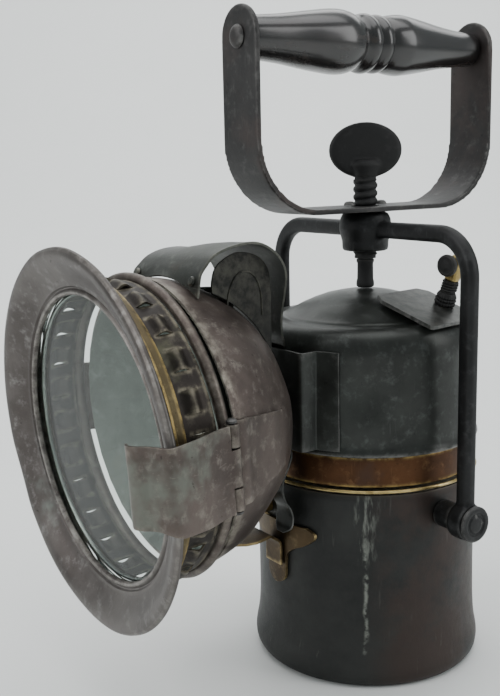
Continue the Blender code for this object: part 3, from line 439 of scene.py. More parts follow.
def ribbon(name, path, thick, across, look, body="lamp_body", node=None, plane="YZ", keep=None, matrix=EYE,
    bevel=0.15, warp=None, smooth=35):
    """Bent sheet: 2D path in a plane, `across` = levels, or one list of levels for each point."""
    def grid(side):
        rows = []
        for k, p in enumerate(side):
            levels = across[k] if hasattr(across[0], "__len__") else across
            rows.append([{"YZ": (x, p[0], p[1]), "XY": (p[0], p[1], x), "XZ": (p[0], x, p[1])}[plane]
                for x in levels])
        return rows
    return sheet(name, grid(offset(path, thick / 2)), grid(offset(path, -thick / 2)), look, body, node, keep,
        False, matrix, bevel, warp, smooth)


def swept(name, path, section, look, body="lamp_body", node=None, matrix=EYE, scale=None, warp=None, smooth=35):
    """Section [(u, v)] carried along a 3D path; scale(k) gives (su, sv) at point k."""
    path = [Vector(p) for p in path]
    tangents = [(path[min(k + 1, len(path) - 1)] - path[max(k - 1, 0)]).normalized() for k in range(len(path))]
    up = Vector((0, 1, 0)) if abs(tangents[0].y) < 0.9 else Vector((1, 0, 0))
    verts, faces, n = [], [], len(section)
    for k, (p, t) in enumerate(zip(path, tangents)):
        side = (up - t * up.dot(t)).normalized()
        over = t.cross(side)
        up = side
        su, sv = scale(k) if scale else (1, 1)
        verts += [tuple(p + side * a * su + over * b * sv) for a, b in section]
    for k in range(len(path) - 1):
        for i in range(n):
            j = (i + 1) % n
            faces.append((k * n + i, k * n + j, (k + 1) * n + j, (k + 1) * n + i))
    faces.append(tuple(reversed(range(n))))
    faces.append(tuple((len(path) - 1) * n + i for i in range(n)))
    return build(name, verts, faces, look, body, node, matrix, 0, warp, smooth)


def circle(r, n=24):
    return [(r * math.cos(2 * math.pi * i / n), r * math.sin(2 * math.pi * i / n)) for i in range(n)]


def rounded(a, b, r, n=5):
    out = []
    for cx, cy, start in ((a / 2 - r, b / 2 - r, 0), (-a / 2 + r, b / 2 - r, 90),
        (-a / 2 + r, -b / 2 + r, 180), (a / 2 - r, -b / 2 + r, 270)):
        for k in range(n + 1):
            t = math.radians(start + 90 * k / n)
            out.append((cx + r * math.cos(t), cy + r * math.sin(t)))
    return out


def ring(radius, height, small, n=16):
    return [(radius + small * math.cos(2 * math.pi * k / n), height + small * math.sin(2 * math.pi * k / n))
        for k in range(n)]


def lumps(amount, size, seed=0.0):
    """Hand-worked unevenness: a small smooth shift of every point.

    It uses noise.noise three times, because noise.noise_vector differs from one run to the next.
    """
    def shift(p):
        q = p / size + Vector((seed, seed * 1.7, -seed))
        return Vector([noise.noise(q + Vector(by)) for by in LUMP_OFFSETS]) * amount
    return shift


def dents(places, base=None):
    """Local dints: [(centre, radius, depth vector)] on top of the general unevenness."""
    def shift(p):
        move = base(p) if base else Vector((0, 0, 0))
        for centre, radius, push in places:
            far = (p - Vector(centre)).length / radius
            if far < 1:
                move = move + Vector(push) * (1 - far * far) ** 2
        return move
    return shift


def fuse(name, parts, look, body, node, voxel=0.55, holes=(), relax=4):
    """Several closed meshes melted into one forged-looking piece."""
    work = bmesh.new()
    for part in parts:
        work.from_mesh(part.data)
    mesh = bpy.data.meshes.new(name)
    work.to_mesh(mesh)
    work.free()
    for part in parts:
        bpy.data.objects.remove(part)
    piece = bpy.data.objects.new(name, mesh)
    bpy.context.scene.collection.objects.link(piece)
    remesh = piece.modifiers.new("melt", "REMESH")
    remesh.mode, remesh.voxel_size = "VOXEL", voxel * MM
    soften = piece.modifiers.new("soften", "SMOOTH")
    soften.iterations, soften.factor = relax, 0.5
    for hole in holes:
        cut = piece.modifiers.new("cut", "BOOLEAN")
        cut.operation, cut.solver, cut.object = "DIFFERENCE", "EXACT", hole
    done = bpy.data.meshes.new_from_object(piece.evaluated_get(bpy.context.evaluated_depsgraph_get()))
    piece.modifiers.clear()
    piece.data = done
    for hole in holes:
        bpy.data.objects.remove(hole)
    done.materials.clear()
    done.materials.append(MATS[look])
    done.shade_smooth()
    done.set_sharp_from_angle(angle=math.radians(50))
    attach(piece, body)
    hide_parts(node)
    return piece


def threaded(name, root, crest, low, high, pitch, look, body, matrix=EYE, segs=48, node=None, ends=()):
    """Screw thread as a true helix, with a plain profile added at the top by `ends`."""
    rows = max(8, int((high - low) / pitch * 8))
    verts, faces = [], []
    for k in range(rows + 1):
        z = low + (high - low) * k / rows
        for i in range(segs):
            turn = (z / pitch - i / segs) % 1.0
            r = root + (crest - root) * min(1.0, 1.45 * (1 - abs(2 * turn - 1)))
            if z < low + pitch * 0.4 or z > high - pitch * 0.4:
                r = min(r, root + (crest - root) * 0.3)
            a = 2 * math.pi * i / segs
            verts.append((r * math.cos(a), r * math.sin(a), z))
    for r, z in ends:
        verts += [(r * math.cos(2 * math.pi * i / segs), r * math.sin(2 * math.pi * i / segs), z)
            for i in range(segs)]
    total = rows + 1 + len(ends)
    for k in range(total - 1):
        for i in range(segs):
            j = (i + 1) % segs
            faces.append((k * segs + i, k * segs + j, (k + 1) * segs + j, (k + 1) * segs + i))
    faces.append(tuple(reversed(range(segs))))
    faces.append(tuple((total - 1) * segs + i for i in range(segs)))
    return build(name, verts, faces, look, body, node, matrix, smooth=60)


# ---- canister and neck
wall = lumps(0.16, 17, 3.0)
foot = spline([(36.4, 0.0), (38.0, 0.6), (39.2, 2.2), (39.7, 4.6), (39.5, 7.4), (38.8, 11), (38.3, 15), (38.0, 20)], 4)
turned("canister_shell", dense([(0, 0.15), (20, 0.15), (35.4, 0.1)] + foot + [(38.0, 65.6), (37.8, 66.1), (37.2, 66.1),
    (37.0, 65.6), (37.0, 20), (37.2, 14), (37.6, 8.5), (36.8, 3), (35, 1.4), (0, 1.4)], 2.4),
    "canister", node="carbide_canister", segs=144,
    warp=dents([((-8, -37, 14), 16, (0.1, 0.6, 0)), ((34, 16, 30), 18, (-0.5, -0.2, 0)),
    ((26, -27, 16), 12, (-0.3, 0.3, 0))], lambda p: wall(p) if 3 < p.z < 62 else Vector((0, 0, 0))))
turned("rim_bead", ring(38.1, 67.35, 0.55, 12), "brass", node="canister_rim_bead", segs=120,
    radial=lambda a, r, h: 0.10 * math.sin(7 * a) + 0.06 * math.sin(17 * a + 1))
turned("copper_band", dense([(36.7, 68.7), (37.2, 68.6), (37.35, 69.2), (37.45, 73.4), (37.35, 77.8), (37.2, 78.3),
    (36.7, 78.3)], 1.2), "copper", node="neck_band", segs=120,
    radial=lambda a, r, h: 0.07 * math.sin(5 * a + h * 0.3) + 0.04 * math.sin(13 * a))

# ---- water tank with its deck, valve and socket
SPHERE = (27.5 ** 2 + 8.4 ** 2) / (2 * 8.4)


def dome_height(r, drop=0.0):
    return 128.0 - SPHERE + math.sqrt((SPHERE - drop) ** 2 - r * r)


tank_out = [(37.2, 79.0), (37.7, 78.7), (38.4, 78.7), (38.7, 79.2), (38.6, 80.0), (38.2, 80.7), (38.1, 82.0),
    (38.2, 96.0)] + spline([(38.2, 108.5), (38.1, 112.0), (37.4, 115.3), (35.9, 117.7), (33.6, 119.0),
    (31.2, 119.3)], 4)
tank_out += spline([(29.2, 119.2), (28.4, 119.35), (27.6, 119.9), (26.0, dome_height(26)), (22, dome_height(22))], 3)
tank_out += [(r, dome_height(r)) for r in (18, 14, 10, 7, 4, 2)] + [(0, 128.0)]
tank_in = [(0, 127.1), (8, dome_height(8, 0.9)), (16, dome_height(16, 0.9)), (24, dome_height(24, 0.9)),
    (27.2, 118.6), (33.2, 118.1), (36.0, 115.2), (37.1, 111.0), (37.1, 80.2), (3.2, 80.2), (3.2, 79.0)]
turned("tank_shell", dense(tank_out + tank_in, 2.2), "tank", node="water_tank", segs=144,
    warp=dents([((30, -25, 100), 13, (-0.9, 0.7, 0)), ((36, -12, 90), 12, (-0.8, 0.2, 0)),
    ((10, -37, 92), 11, (-0.1, 0.5, 0)), ((35, 14, 104), 12, (-0.6, -0.3, 0)),
    ((-14, 22, 124), 9, (0, 0, -0.5))],
    lambda p: lumps(0.22, 14, 8.0)(p) if 81 < p.z < 126 and p.xy.length > 6 else Vector((0, 0, 0))))
LEAN = (Matrix.Rotation(math.radians(10), 4, "Z") @ Matrix.Translation((15, 0, dome_height(15) + 0.35))
    @ Matrix.Rotation(math.radians(18.4), 4, "Y"))
VALVE = LEAN @ Matrix.Translation((11.8, 8.5, 1.2))
deck = bend([(-2, -10), (2, -12.5), (23, -12.5), (23, 14), (1, 14), (-2, 11), (-2, -10)], [1, 1.2, 1.6, 1, 1], 4)[:-1]
count = len(deck)
hole = [(11.8 + 2.05 * math.cos(t), 8.5 + 2.05 * math.sin(t)) for t in np.linspace(0, 2 * math.pi, count, False)]
start = int(np.argmin([math.atan2(y - 8.5, x - 11.8) % (2 * math.pi) for x, y in deck]))
deck = [tuple(deck[(start + k) % count]) for k in range(count)]
if sum(deck[k][0] * deck[(k + 1) % count][1] - deck[k][1] * deck[(k + 1) % count][0] for k in range(count)) < 0:
    deck = [deck[0]] + deck[:0:-1]
hole = [(11.8 + 2.05 * math.cos(t), 8.5 + 2.05 * math.sin(t))
    for t in [math.atan2(y - 8.5, x - 11.8) for x, y in deck]]
plate_rings = [[(x, y, 0.0) for x, y in hole], [(x, y, 0.0) for x, y in deck], [(x, y, 1.2) for x, y in deck],
    [(x, y, 1.2) for x, y in hole]]
build("deck_plate", [p for loop in plate_rings for p in loop],
    [(k * count + i, k * count + (i + 1) % count, (k + 1) % 4 * count + (i + 1) % count, (k + 1) % 4 * count + i)
    for k in range(4) for i in range(count)], "tank", node="valve_deck", matrix=LEAN, bevel=0.35)
turned("gland_nut", [(1.9, 0.25), (3.1, 0.25), (3.4, 0.9), (3.45, 1.2), (3.0, 1.65), (3.45, 2.1), (3.45, 2.4),
    (3.0, 2.8), (3.3, 3.2), (3.1, 4.0), (2.6, 4.8), (1.9, 4.8)], "screw", node="valve_gland",
    matrix=VALVE, segs=72, radial=lambda a, r, h: 0.16 * math.sin(24 * a) if r > 2.9 and h < 3.5 else 0, bevel=0.08)
threaded("valve_thread", 2.25, 2.75, 4.9, 8.9, 0.9, "screw", "valve", VALVE, 36, "valve_spindle")
turned("needle", [(0, -8.5), (0.5, -8.3), (1.5, -6.5), (1.5, 4.9), (0, 4.9)], "brass", "valve", matrix=VALVE, segs=24)
body = [(9.0, 0.75), (9.4, 0.95), (10.4, 1.0), (13.0, 1.02), (15.2, 0.98), (16.6, 0.86), (17.3, 0.66), (17.6, 0.4)]
lever = rounded(5.0, 4.0, 1.5, 5)
m = len(lever)
build("valve_knob", [(a * s, b * s, z) for z, s in body for a, b in lever],
    [(k * m + i, k * m + (i + 1) % m, (k + 1) * m + (i + 1) % m, (k + 1) * m + i)
    for k in range(len(body) - 1) for i in range(m)]
    + [tuple(reversed(range(m))), tuple((len(body) - 1) * m + i for i in range(m))],
    "brass", "valve", "valve_handle", VALVE, warp=lumps(0.12, 3.0, 5))
turned("valve_button", [(0, 0), (1.6, 0), (1.9, 0.5), (3.0, 0.7), (3.5, 1.1), (3.65, 1.8), (3.5, 2.4), (2.9, 2.9),
    (2.0, 2.75), (1.4, 3.0), (0, 3.2)], "screw", "valve", "valve_disc", segs=40,
    matrix=VALVE @ Matrix.Translation((-0.6, -2.35, 14.2)) @ Matrix.Rotation(math.pi / 2, 4, "X"))
half_box = bend([(23.6, -30.9), (16.9, -35.0), (17.2, -40.9), (0, -40.9)], [1.0, 1.1], 6)
socket = refine(np.vstack([half_box[:-1], half_box[::-1] * np.array([-1, 1])]), 2.5)
ribbon("socket_plate", socket, 0.8, list(np.linspace(80.6, 112.6, 12)), "tank", node="tank_socket", plane="XY",
    bevel=0.2, warp=lumps(0.22, 8, 12))

# ---- yoke and rivets
for side, sx in SIDES:
    turned("rivet_" + side, dense([(0, 38.4), (4.2, 38.5), (4.4, 38.9), (4.4, 44.9), (3.0, 45.0), (3.0, 51.6),
        (3.1, 51.75), (5.5, 51.8), (5.8, 52.1), (5.8, 52.8), (5.6, 53.1), (5.2, 53.3),
        (4.1, 53.3), (3.8, 53.15), (3.6, 52.9), (2.9, 52.9), (2.7, 53.1), (2.4, 53.3),
        (1.2, 53.4), (0, 53.4)], 1.0), "forged",
        node="yoke_rivet_" + side, axis="X", at=(0, 0, PIVOT_Z), segs=48,
        matrix=EYE if sx > 0 else HALF_TURN)
mid, bar = 48.4, 148.25
rail = refine(bend([(mid, PIVOT_Z), (mid, bar), (-mid, bar), (-mid, PIVOT_Z)], 13.0, 12), 2.2)


def yoke_scale(k):
    x, z = rail[k]
    flat = max(0.0, 1 - abs(x) / 30) if z > 140 else 0.0
    return (1.0 + 0.12 * flat, 1.0 - 0.05 * flat)


bow = swept("bow", [(p[0], 0, p[1]) for p in rail], rounded(4.8, 5.6, 1.9, 5), "forged", "yoke", scale=yoke_scale)
boss = turned("boss", dense([(0, 141), (7.4, 141), (7.8, 141.5), (7.9, 144.4), (8.4, 146.0), (8.9, 148.5),
    (8.6, 151.6), (7.8, 153.4), (6.8, 154.0), (0, 154.0)], 1.2), "forged", "yoke", segs=48)
eyes, holes = [], []
for side, sx in SIDES:
    turn = EYE if sx > 0 else HALF_TURN
    eyes.append(turned("eye_" + side, dense([(0, 45.4), (5.4, 45.4), (5.9, 46.0), (5.9, 50.8), (5.4, 51.4),
        (0, 51.4)], 1.2), "forged", "yoke", axis="X", at=(0, 0, PIVOT_Z),
        matrix=turn, segs=40))
    holes.append(turned("hole_" + side, [(0, 40), (3.4, 40), (3.4, 56), (0, 56)], "forged", "yoke", axis="X",
        at=(0, 0, PIVOT_Z), matrix=turn, segs=32))
holes.append(turned("hole_screw", [(0, 130), (4.6, 130), (4.6, 160), (0, 160)], "forged", "yoke", segs=40))
fuse("yoke_forging", [bow, boss] + eyes, "forged", "yoke", "yoke", 0.55, holes, 5)

# ---- handle
strap = refine(bend([(-49.5, GRIP_Z), (-49.5, 155.2), (49.5, 155.2), (49.5, GRIP_Z)], 23.0, 16), 3.0)
left, right = offset(strap, 0.9), offset(strap, -0.9)
levels = [-9.5, -9.2, -6, -3, 0, 3, 6, 9.2, 9.5]


def strap_rows(line):
    return [[(x, p[0], p[1]) for x in levels] for p in line]


band = sheet("band", strap_rows(left), strap_rows(right), "strap", "yoke")
ends, bores = [], []
for sy in (-1, 1):
    turn = EYE if sy > 0 else HALF_TURN
    ends.append(turned("end%d" % sy, [(0, 48.6), (9.5, 48.6), (9.5, 50.4), (0, 50.4)], "strap", "yoke", axis="Y",
        at=(0, 0, GRIP_Z), matrix=turn, segs=64))
bores.append(turned("bore_rod", [(0, -60), (2.35, -60), (2.35, 60), (0, 60)], "strap", "yoke", axis="Y",
    at=(0, 0, GRIP_Z), segs=32))
bores.append(turned("bore_screw", [(0, 150), (4.85, 150), (4.85, 160), (0, 160)], "strap", "yoke", segs=40))
fuse("handle_band", [band] + ends, "strap", "yoke", "handle_strap", 0.5, bores, 3)
turned("grip_pin", [(0, -52.2), (1.4, -52.15), (2.4, -51.9), (3.2, -51.4), (3.6, -50.8), (2.0, -50.7), (2.0, 50.7),
    (3.6, 50.8), (3.2, 51.4), (2.4, 51.9), (1.4, 52.15), (0, 52.2)], "strap", "yoke", "grip_rod",
    "Y", (0, 0, GRIP_Z), segs=32)
grip = spline([(6.2, -48.2), (6.6, -45), (7.7, -34), (9.3, -23), (10.2, -15), (10.0, -10.6), (9.1, -7.4),
    (8.3, -5.9)], 5)
grip += [(8.1, -5.4)] + spline([(8.5, -4.4), (9.3, -3.3), (9.6, -1.9), (9.3, -0.5), (8.6, 0.3)], 3)
grip += [(8.2, 0.6)] + spline([(8.7, 1.1), (9.2, 2.1), (9.4, 3.2), (9.2, 4.3), (8.6, 5.2)], 3)
grip += [(8.2, 5.6)] + spline([(8.6, 6.1), (9.3, 8.2), (9.9, 12), (9.8, 15), (9.0, 21), (7.4, 31), (6.2, 40),
    (5.8, 46.5), (5.6, 48.2)], 5)
turned("grip_wood", grip + [(2.4, 48.2), (2.4, -48.2)], "grip", "grip", "wood_grip", "Y", (0, 0, GRIP_Z), segs=72,
    warp=lumps(0.12, 12, 4), bevel=0.15)
for side, y in (("front", -6.9), ("back", 6.9)):
    turned("stud_" + side, [(0, 156.4), (1.95, 156.4), (1.9, 156.9), (1.6, 157.4), (1.0, 157.7), (0, 157.8)], "strap",
        "yoke", "strap_rivet_" + side, at=(0, y, 0), segs=24)

# ---- pressure screw
turned("foot_pad", [(0, 128.4), (2.5, 128.4), (3.0, 128.8), (3.05, 129.4), (3.0, 130.4), (2.75, 131.2),
    (2.7, 136.6), (3.0, 137.2), (3.0, 138.0), (0, 138.0)], "screw", "pressure_foot",
    "pressure_foot", segs=36, bevel=0.1)
threaded("screw_thread", 3.45, 4.1, 138.4, 166.0, 2.6, "screw", "thumb_screw", segs=48)
wing_verts, wing_faces, wing_n = [], [], 40
for t, s in ((-1.9, 0.72), (-1.75, 0.86), (-1.4, 0.95), (-0.7, 0.99), (0, 1.0), (0.7, 0.99), (1.4, 0.95),
    (1.75, 0.86), (1.9, 0.72)):
    for i in range(wing_n):
        a = 2 * math.pi * i / wing_n
        wing_verts.append((12.3 * s * math.cos(a), t, 174.5 + 9.3 * s * math.sin(a)))
for k in range(8):
    for i in range(wing_n):
        j = (i + 1) % wing_n
        wing_faces.append((k * wing_n + i, k * wing_n + j, (k + 1) * wing_n + j, (k + 1) * wing_n + i))
wing_faces += [tuple(reversed(range(wing_n))), tuple(range(8 * wing_n, 9 * wing_n))]
wing = build("wing", wing_verts, wing_faces, "screw", "thumb_screw", matrix=Matrix.Rotation(math.radians(56), 4, "Z"))
neck = turned("neck", dense([(0, 165.6), (3.9, 165.6), (4.1, 166.8), (4.9, 168.4), (5.6, 169.8), (4.4, 171.4),
    (0, 171.6)], 1.0), "screw", "thumb_screw", segs=36)
fuse("wing_screw", [wing, neck], "screw", "thumb_screw", "thumb_screw", 0.45, (), 6)

# ---- bell front
face = spline([(46.3, -9.0), (48.2, -10.0), (50.6, -11.5), (53.0, -12.9), (55.0, -13.5), (56.4, -13.3)], 4)
edge = spline([(57.1, -12.7), (57.2, -12.0), (56.6, -11.4), (55.6, -11.3)], 3)
back = spline([(53.4, -11.0), (50.4, -9.3), (48.2, -8.3), (46.9, -7.8)], 3)
turned("bell_front", [(42.8, -8.2), (43.1, -8.7), (43.8, -8.9), (44.4, -8.6), (44.7, -8.2), (45.1, -8.3),
    (45.5, -8.9)] + face + edge + back
    + [(46.2, -7.4), (46.2, -3.0), (45.4, -3.0), (45.4, -7.3), (44.6, -7.4), (42.8, -7.5)], "bezel",
    node="bell_bezel", axis="Y", matrix=HEAD, segs=160,
    warp=dents([((-52, -108, 70), 14, (0.1, 0.5, 0.1)), ((20, -108, 142), 12, (0, 0.5, -0.1)),
    ((-30, -108, 48), 16, (0, -0.3, 0.2))], lumps(0.16, 18, 6)))
turned("collar_band", dense([(46.7, -7.2), (47.6, -7.2), (48.1, -6.9), (48.1, -6.2), (47.7, -5.9), (47.75, -4.0),
    (47.4, -3.3), (46.7, -3.3)], 0.8), "collar", node="front_collar", axis="Y",
    matrix=HEAD, segs=140, radial=lambda a, r, h: 0.06 * math.sin(9 * a) if r > 47 else 0)
turned("glass_pane", [(0, -6.9), (20, -6.9), (43.4, -6.9), (43.8, -6.6), (43.8, -5.4), (43.4, -5.1), (20, -5.1),
    (0, -5.1)], "glass", node="front_glass", axis="Y", matrix=HEAD, segs=96)
turned("spring_wire", ring(43.1, -4.1, 0.7, 10), "tinned", node="glass_ring", axis="Y", matrix=HEAD, segs=96)

# vent drum: a bridge pressed outwards every 15 degrees, open at both ends
LOUVRES, DRUM = 24, 45.0
drum_y = [-2.7, -2.1, -1.6, -1.2, -0.7, -0.1, 0.6, 1.3, 2.0, 2.7, 3.4, 4.1, 4.7, 5.2, 6.2, 7.4]


def lift(y):
    share = min(max((y + 1.2) / 6.4, 0.0), 1.0)
    return 1.5 * math.sin(math.pi * share) ** 2


columns = []
for k in range(LOUVRES):
    for part, up in ((-0.27, 0), (-0.27, 1), (-0.18, 1.06), (-0.09, 1.1), (0, 1.12), (0.09, 1.1), (0.18, 1.06),
        (0.27, 1), (0.27, 0), (0.38, 0), (0.5, 0), (0.62, 0)):
        columns.append((2 * math.pi * (k + 0.5 + part) / LOUVRES, up))


def drum_wall(radius):
    return [[((radius + up * lift(y)) * math.cos(a), y, (radius + up * lift(y)) * math.sin(a)) for y in drum_y]
        for a, up in columns]


sheet("louvred_drum", drum_wall(DRUM), drum_wall(DRUM - 0.6), "drum", node="vent_drum", wrap=True, matrix=HEAD,
    keep=lambda i, j: not (i % 12 in (0, 7) and 3 <= j <= 12), smooth=30)
turned("rolled_bead", ring(45.3, 9.4, 1.65, 14), "bronze", node="bowl_bead", axis="Y", matrix=HEAD, segs=140,
    radial=lambda a, r, h: 0.08 * math.sin(6 * a + 1))

# ---- bowl, chimney, reflector
BOWL, BOWL_Y, BURNER_Y = 45.3, 8.0, -66.0
angles = np.linspace(6.5, 88, 24)
shell = [(BOWL * math.cos(math.radians(a)), BOWL_Y + BOWL * math.sin(math.radians(a))) for a in angles]
shell += [(0, BOWL_Y + BOWL), (0, BOWL_Y + BOWL - 0.9)]
shell += [((BOWL - 0.9) * math.cos(math.radians(a)), BOWL_Y + (BOWL - 0.9) * math.sin(math.radians(a)))
    for a in angles[::-1]]
shell[-1] = (shell[-1][0], shell[0][1])
bowl = turned("bowl_shell", shell, "bronze", node="lamp_bowl", axis="Y", matrix=HEAD, segs=128,
    warp=dents([((40, -66, 92), 12, (-0.7, -0.1, 0)), ((30, -62, 70), 11, (-0.5, -0.2, 0.3)),
    ((22, -54, 108), 9, (-0.3, -0.3, -0.2))], lumps(0.18, 16, 2)))
cutters = [turned("cut_pipe", [(0, 44), (3.7, 44), (3.7, 82), (0, 82)], "bronze", at=(0, BURNER_Y, 0), segs=32),
    turned("cut_flue", [(0, 108), (8.6, 108), (8.6, 150), (0, 150)], "bronze", at=(0, BURNER_Y + 2, 0),
    segs=40),
    turned("cut_side", [(0, -60), (3.4, -60), (3.4, -44), (0, -44)], "bronze", axis="Y", at=(-5, 0, 57),
    segs=32)]
for cutter in cutters:
    step = bowl.modifiers.new("cut", "BOOLEAN")
    step.operation, step.solver, step.object = "DIFFERENCE", "EXACT", cutter
done = bpy.data.meshes.new_from_object(bowl.evaluated_get(bpy.context.evaluated_depsgraph_get()))
bowl.modifiers.clear()
bowl.data = done
for cutter in cutters:
    bpy.data.objects.remove(cutter)
turned("chimney_tube", dense([(7.5, 118), (8.2, 118), (8.2, 132.8), (8.05, 133.0), (7.65, 133.0), (7.5, 132.8)], 3),
    "hood", node="chimney",
    at=(0, BURNER_Y + 2, 0), segs=64)

# ---- hood and its near cheek
rear = spline([(-38.95, 84.0), (-38.95, 98.0), (-38.95, 111.0), (-41.0, 114.6), (-44.0, 118.6), (-45.0, 124.0),
    (-46.5, 132.0), (-48.0, 138.5), (-50.6, 143.6), (-55.2, 147.0), (-61.0, 148.6), (-67.5, 148.0),
    (-73.2, 145.6), (-76.8, 141.9)], 4)
widths = spline([(0, 5.8), (1, 5.8), (2, 5.8), (3, 8.6), (4, 11.6), (5, 13.0), (6, 17.0), (7, 19.8), (8, 20.0),
    (9, 20.0), (10, 20.0), (11, 20.0), (12, 20.0), (13, 20.0)], 4)


def bowl_top(x, y):
    local = HEAD.inverted() @ Vector((x, y, 130.0))
    reach = 45.3 ** 2 - local.x ** 2 - (local.y - BOWL_Y) ** 2
    return (HEAD @ Vector((local.x, local.y, math.sqrt(max(reach, 0))))).z


def hood_drop(x, y, z, foot):
    """How far the sheet sags towards its far end, where it has been pressed down."""
    share = (z - foot) / (HOOD_TOP - foot) if y < -61 else (z - HOOD_BEND) / (HOOD_TOP - HOOD_BEND)
    return HOOD_SAG * (20.0 - x) * max(0.0, share)


hood_out, hood_in = [], []
shares = np.linspace(-1, 1, 25)
lines = []
for s in shares:
    foot_at = (-79.0, bowl_top(s * 20.0, -79.0) + 0.6)
    line = np.vstack([np.array(rear), spline([(-76.8, 141.9), (-78.2, 139.6), foot_at], 3)[1:]])
    lines.append(np.array([(y, z - hood_drop(s * 20.0, y, z, foot_at[1])) for y, z in line]))
for k in range(len(lines[0])):
    width = widths[min(k, len(widths) - 1)][1]
    for grid, by in ((hood_out, -0.4), (hood_in, 0.4)):
        grid.append([(s * width, *offset(lines[c], by)[k]) for c, s in enumerate(shares)])
sheet("hood_sheet", hood_out, hood_in, "hood", node="chimney_hood", bevel=0.15,
    warp=dents([((18, -66, 147), 10, (0, 0, -0.7)), ((-10, -60, 148), 14, (0, 0, -0.6))], lumps(0.3, 16, 9)))
arch = spline([(-71.5, 132.5), (-71.5, 137.5), (-69.4, 142.2), (-62.5, 145.4), (-55.6, 144.0), (-51.6, 140.0),
    (-50.6, 134.0), (-50.6, 128.0), (-50.6, 122.6)], 5)
arch = [p for p in arch if p[1] > bowl_top(14.9, p[0]) + 1.2]
low = [(y, bowl_top(14.4, y) + 0.9) for y in np.linspace(-50.6, -71.5, 14)]
loop = arch + low
k = len(loop)
# the cheek and its arch take the darker cheek material, which paints the shade under the hood
build("cheek_right", [(14.6, y, z) for y, z in loop] + [(15.3, y, z) for y, z in loop],
    [tuple(range(k)), tuple(reversed(range(k, 2 * k)))]
    + [(i, (i + 1) % k, k + (i + 1) % k, k + i) for i in range(k)], "cheek", node="hood_cheek_right",
    bevel=0.12)
panel = spline([(-66.5, 127.6), (-66.0, 133), (-63.6, 138.0), (-60.2, 139.6), (-56.6, 138.0), (-54.4, 133),
    (-54.0, 126.0)], 6)
swept("cheek_arch_right", [(15.35, y, z) for y, z in panel], circle(0.3, 8), "cheek")
for side, sx in SIDES:
    turn = Vector((0, -1, 0.35)).normalized().to_track_quat("Z", "Y").to_matrix().to_4x4()
    turned("hood_stud_" + side, [(0, 0), (1.5, 0), (1.45, 0.4), (1.1, 0.8), (0, 1.0)], "hood",
        node="hood_rivet_" + side, segs=20,
        matrix=Matrix.Translation((sx * 16.5, -78.95, bowl_top(16.5, -79.0) + 3.6)) @ turn)

# ---- tongue, bracket and arm
tongue = spline([(-39.95, 104.0), (-39.95, 84.0), (-40.0, 78.6), (-41.4, 75.0), (-43.2, 70.6), (-43.6, 66.4),
    (-42.6, 62.6), (-41.4, 60.2), (-41.0, 57.4), (-41.7, 54.0), (-43.2, 52.2)], 5)
half = spline([(0, 5.2), (1, 8.5), (2, 9.0), (3, 6.5), (4, 4.6), (5, 3.6), (6, 3.4), (7, 3.8), (8, 4.4), (9, 4.2),
    (10, 1.6)], 5)
middle = spline([(0, 0), (1, 0), (2, 1.5), (3, 4.5), (4, 6.0), (5, 6.8), (6, 7.2), (7, 7.6), (8, 7.8), (9, 7.9),
    (10, 7.9)], 5)
ribbon("tongue_spring", tongue, 0.7, [[c[1] + h[1] * t for t in (-1, -0.5, 0, 0.5, 1)] for h, c in
    zip(half, middle)], "tank", node="spring_tongue", bevel=0.15)
outline = spline([(31.2, 0.8), (32.2, 3.0), (34.5, 4.6), (39.0, 4.9), (42.5, 5.6), (45.0, 8.6), (47.0, 13.0),
    (49.5, 16.4), (51.6, 16.8), (53.2, 13.6)], 5)


def on_can(radius):
    return [[(radius * math.sin(s * w / radius), -radius * math.cos(s * w / radius), z) for z, w in outline]
        for s in np.linspace(-1, 1, 25)]


sheet("bracket_leaf", on_can(39.4), on_can(38.4), "bracket", node="bracket_plate", bevel=0.2)
arm = refine(bend([(-40.2, 38.5), (-40.2, 46.6), (-45.6, 50.2), (-57.0, 51.0), (-65.0, 52.7), (-72.0, 50.1),
    (-78.5, 48.1)], [3.0, 3.0, 6.0, 5.0, 6.0], 8), 1.8)
ribbon("cradle_strip", arm, 0.9,
    [[t * (4.2 + 4.8 * min(1.0, max(0.0, (-y - 41.0) / 12.0))) for t in (-1, -0.6, 0, 0.6, 1)] for y, z in arm],
    "bracket", node="cradle_arm", bevel=0.2)


# ---- clasp on the near side
def curl(cx, cy, r, start, stop, steps=18):
    return [(cx + r * math.cos(math.radians(start + (stop - start) * k / steps)),
        cy + r * math.sin(math.radians(start + (stop - start) * k / steps))) for k in range(steps + 1)]


LOW, HIGH = -12.3, 11.9
PIN = [(0, LOW - 0.9), (0.9, LOW - 0.9), (1.45, LOW - 0.6), (1.5, LOW + 0.0), (0.8, LOW + 0.1), (0.8, HIGH + 0.1),
    (1.5, HIGH + 0.2), (1.45, HIGH + 0.8), (0.9, HIGH + 1.2), (0, HIGH + 1.3)]
LEAF_ROWS = (LOW + 0.4, -9.0, -5.6, -2, 2, 5.6, 9.0, HIGH - 0.2)
leaf = curl(*CLASP_PIN, KNUCKLE, 450, 180) + spline([(49.0, 9.4), (49.0, 12.8), (47.0, 16.4), (44.4, 21.5),
    (41.8, 27.4), (39.0, 32.0)], 4)
heights = []
for k in range(len(leaf)):
    fade = 1 - 0.3 * min(1.0, max(0.0, (k - 24) / 14.0))
    heights.append([v * fade for v in LEAF_ROWS])
ribbon("leaf_right", np.array(leaf), 0.8, heights, "bronze", node="clasp_leaf_right", plane="XY",
    matrix=HEAD, keep=lambda i, j: not (i < 19 and 2 <= j <= 4), bevel=0.12, warp=lumps(0.12, 7, 3))
plate = curl(*CLASP_PIN, KNUCKLE, 270, 20, 16) + spline([
    (52.2, 6.2), (52.9, 3.0), (55.4, -4.0), (57.6, -11.6), (58.0, -14.2), (57.2, -15.6), (54.8, -17.2),
    (52.8, -18.4), (51.2, -20.0), (48.9, -21.2), (46.8, -20.6)], 4)
heights = []
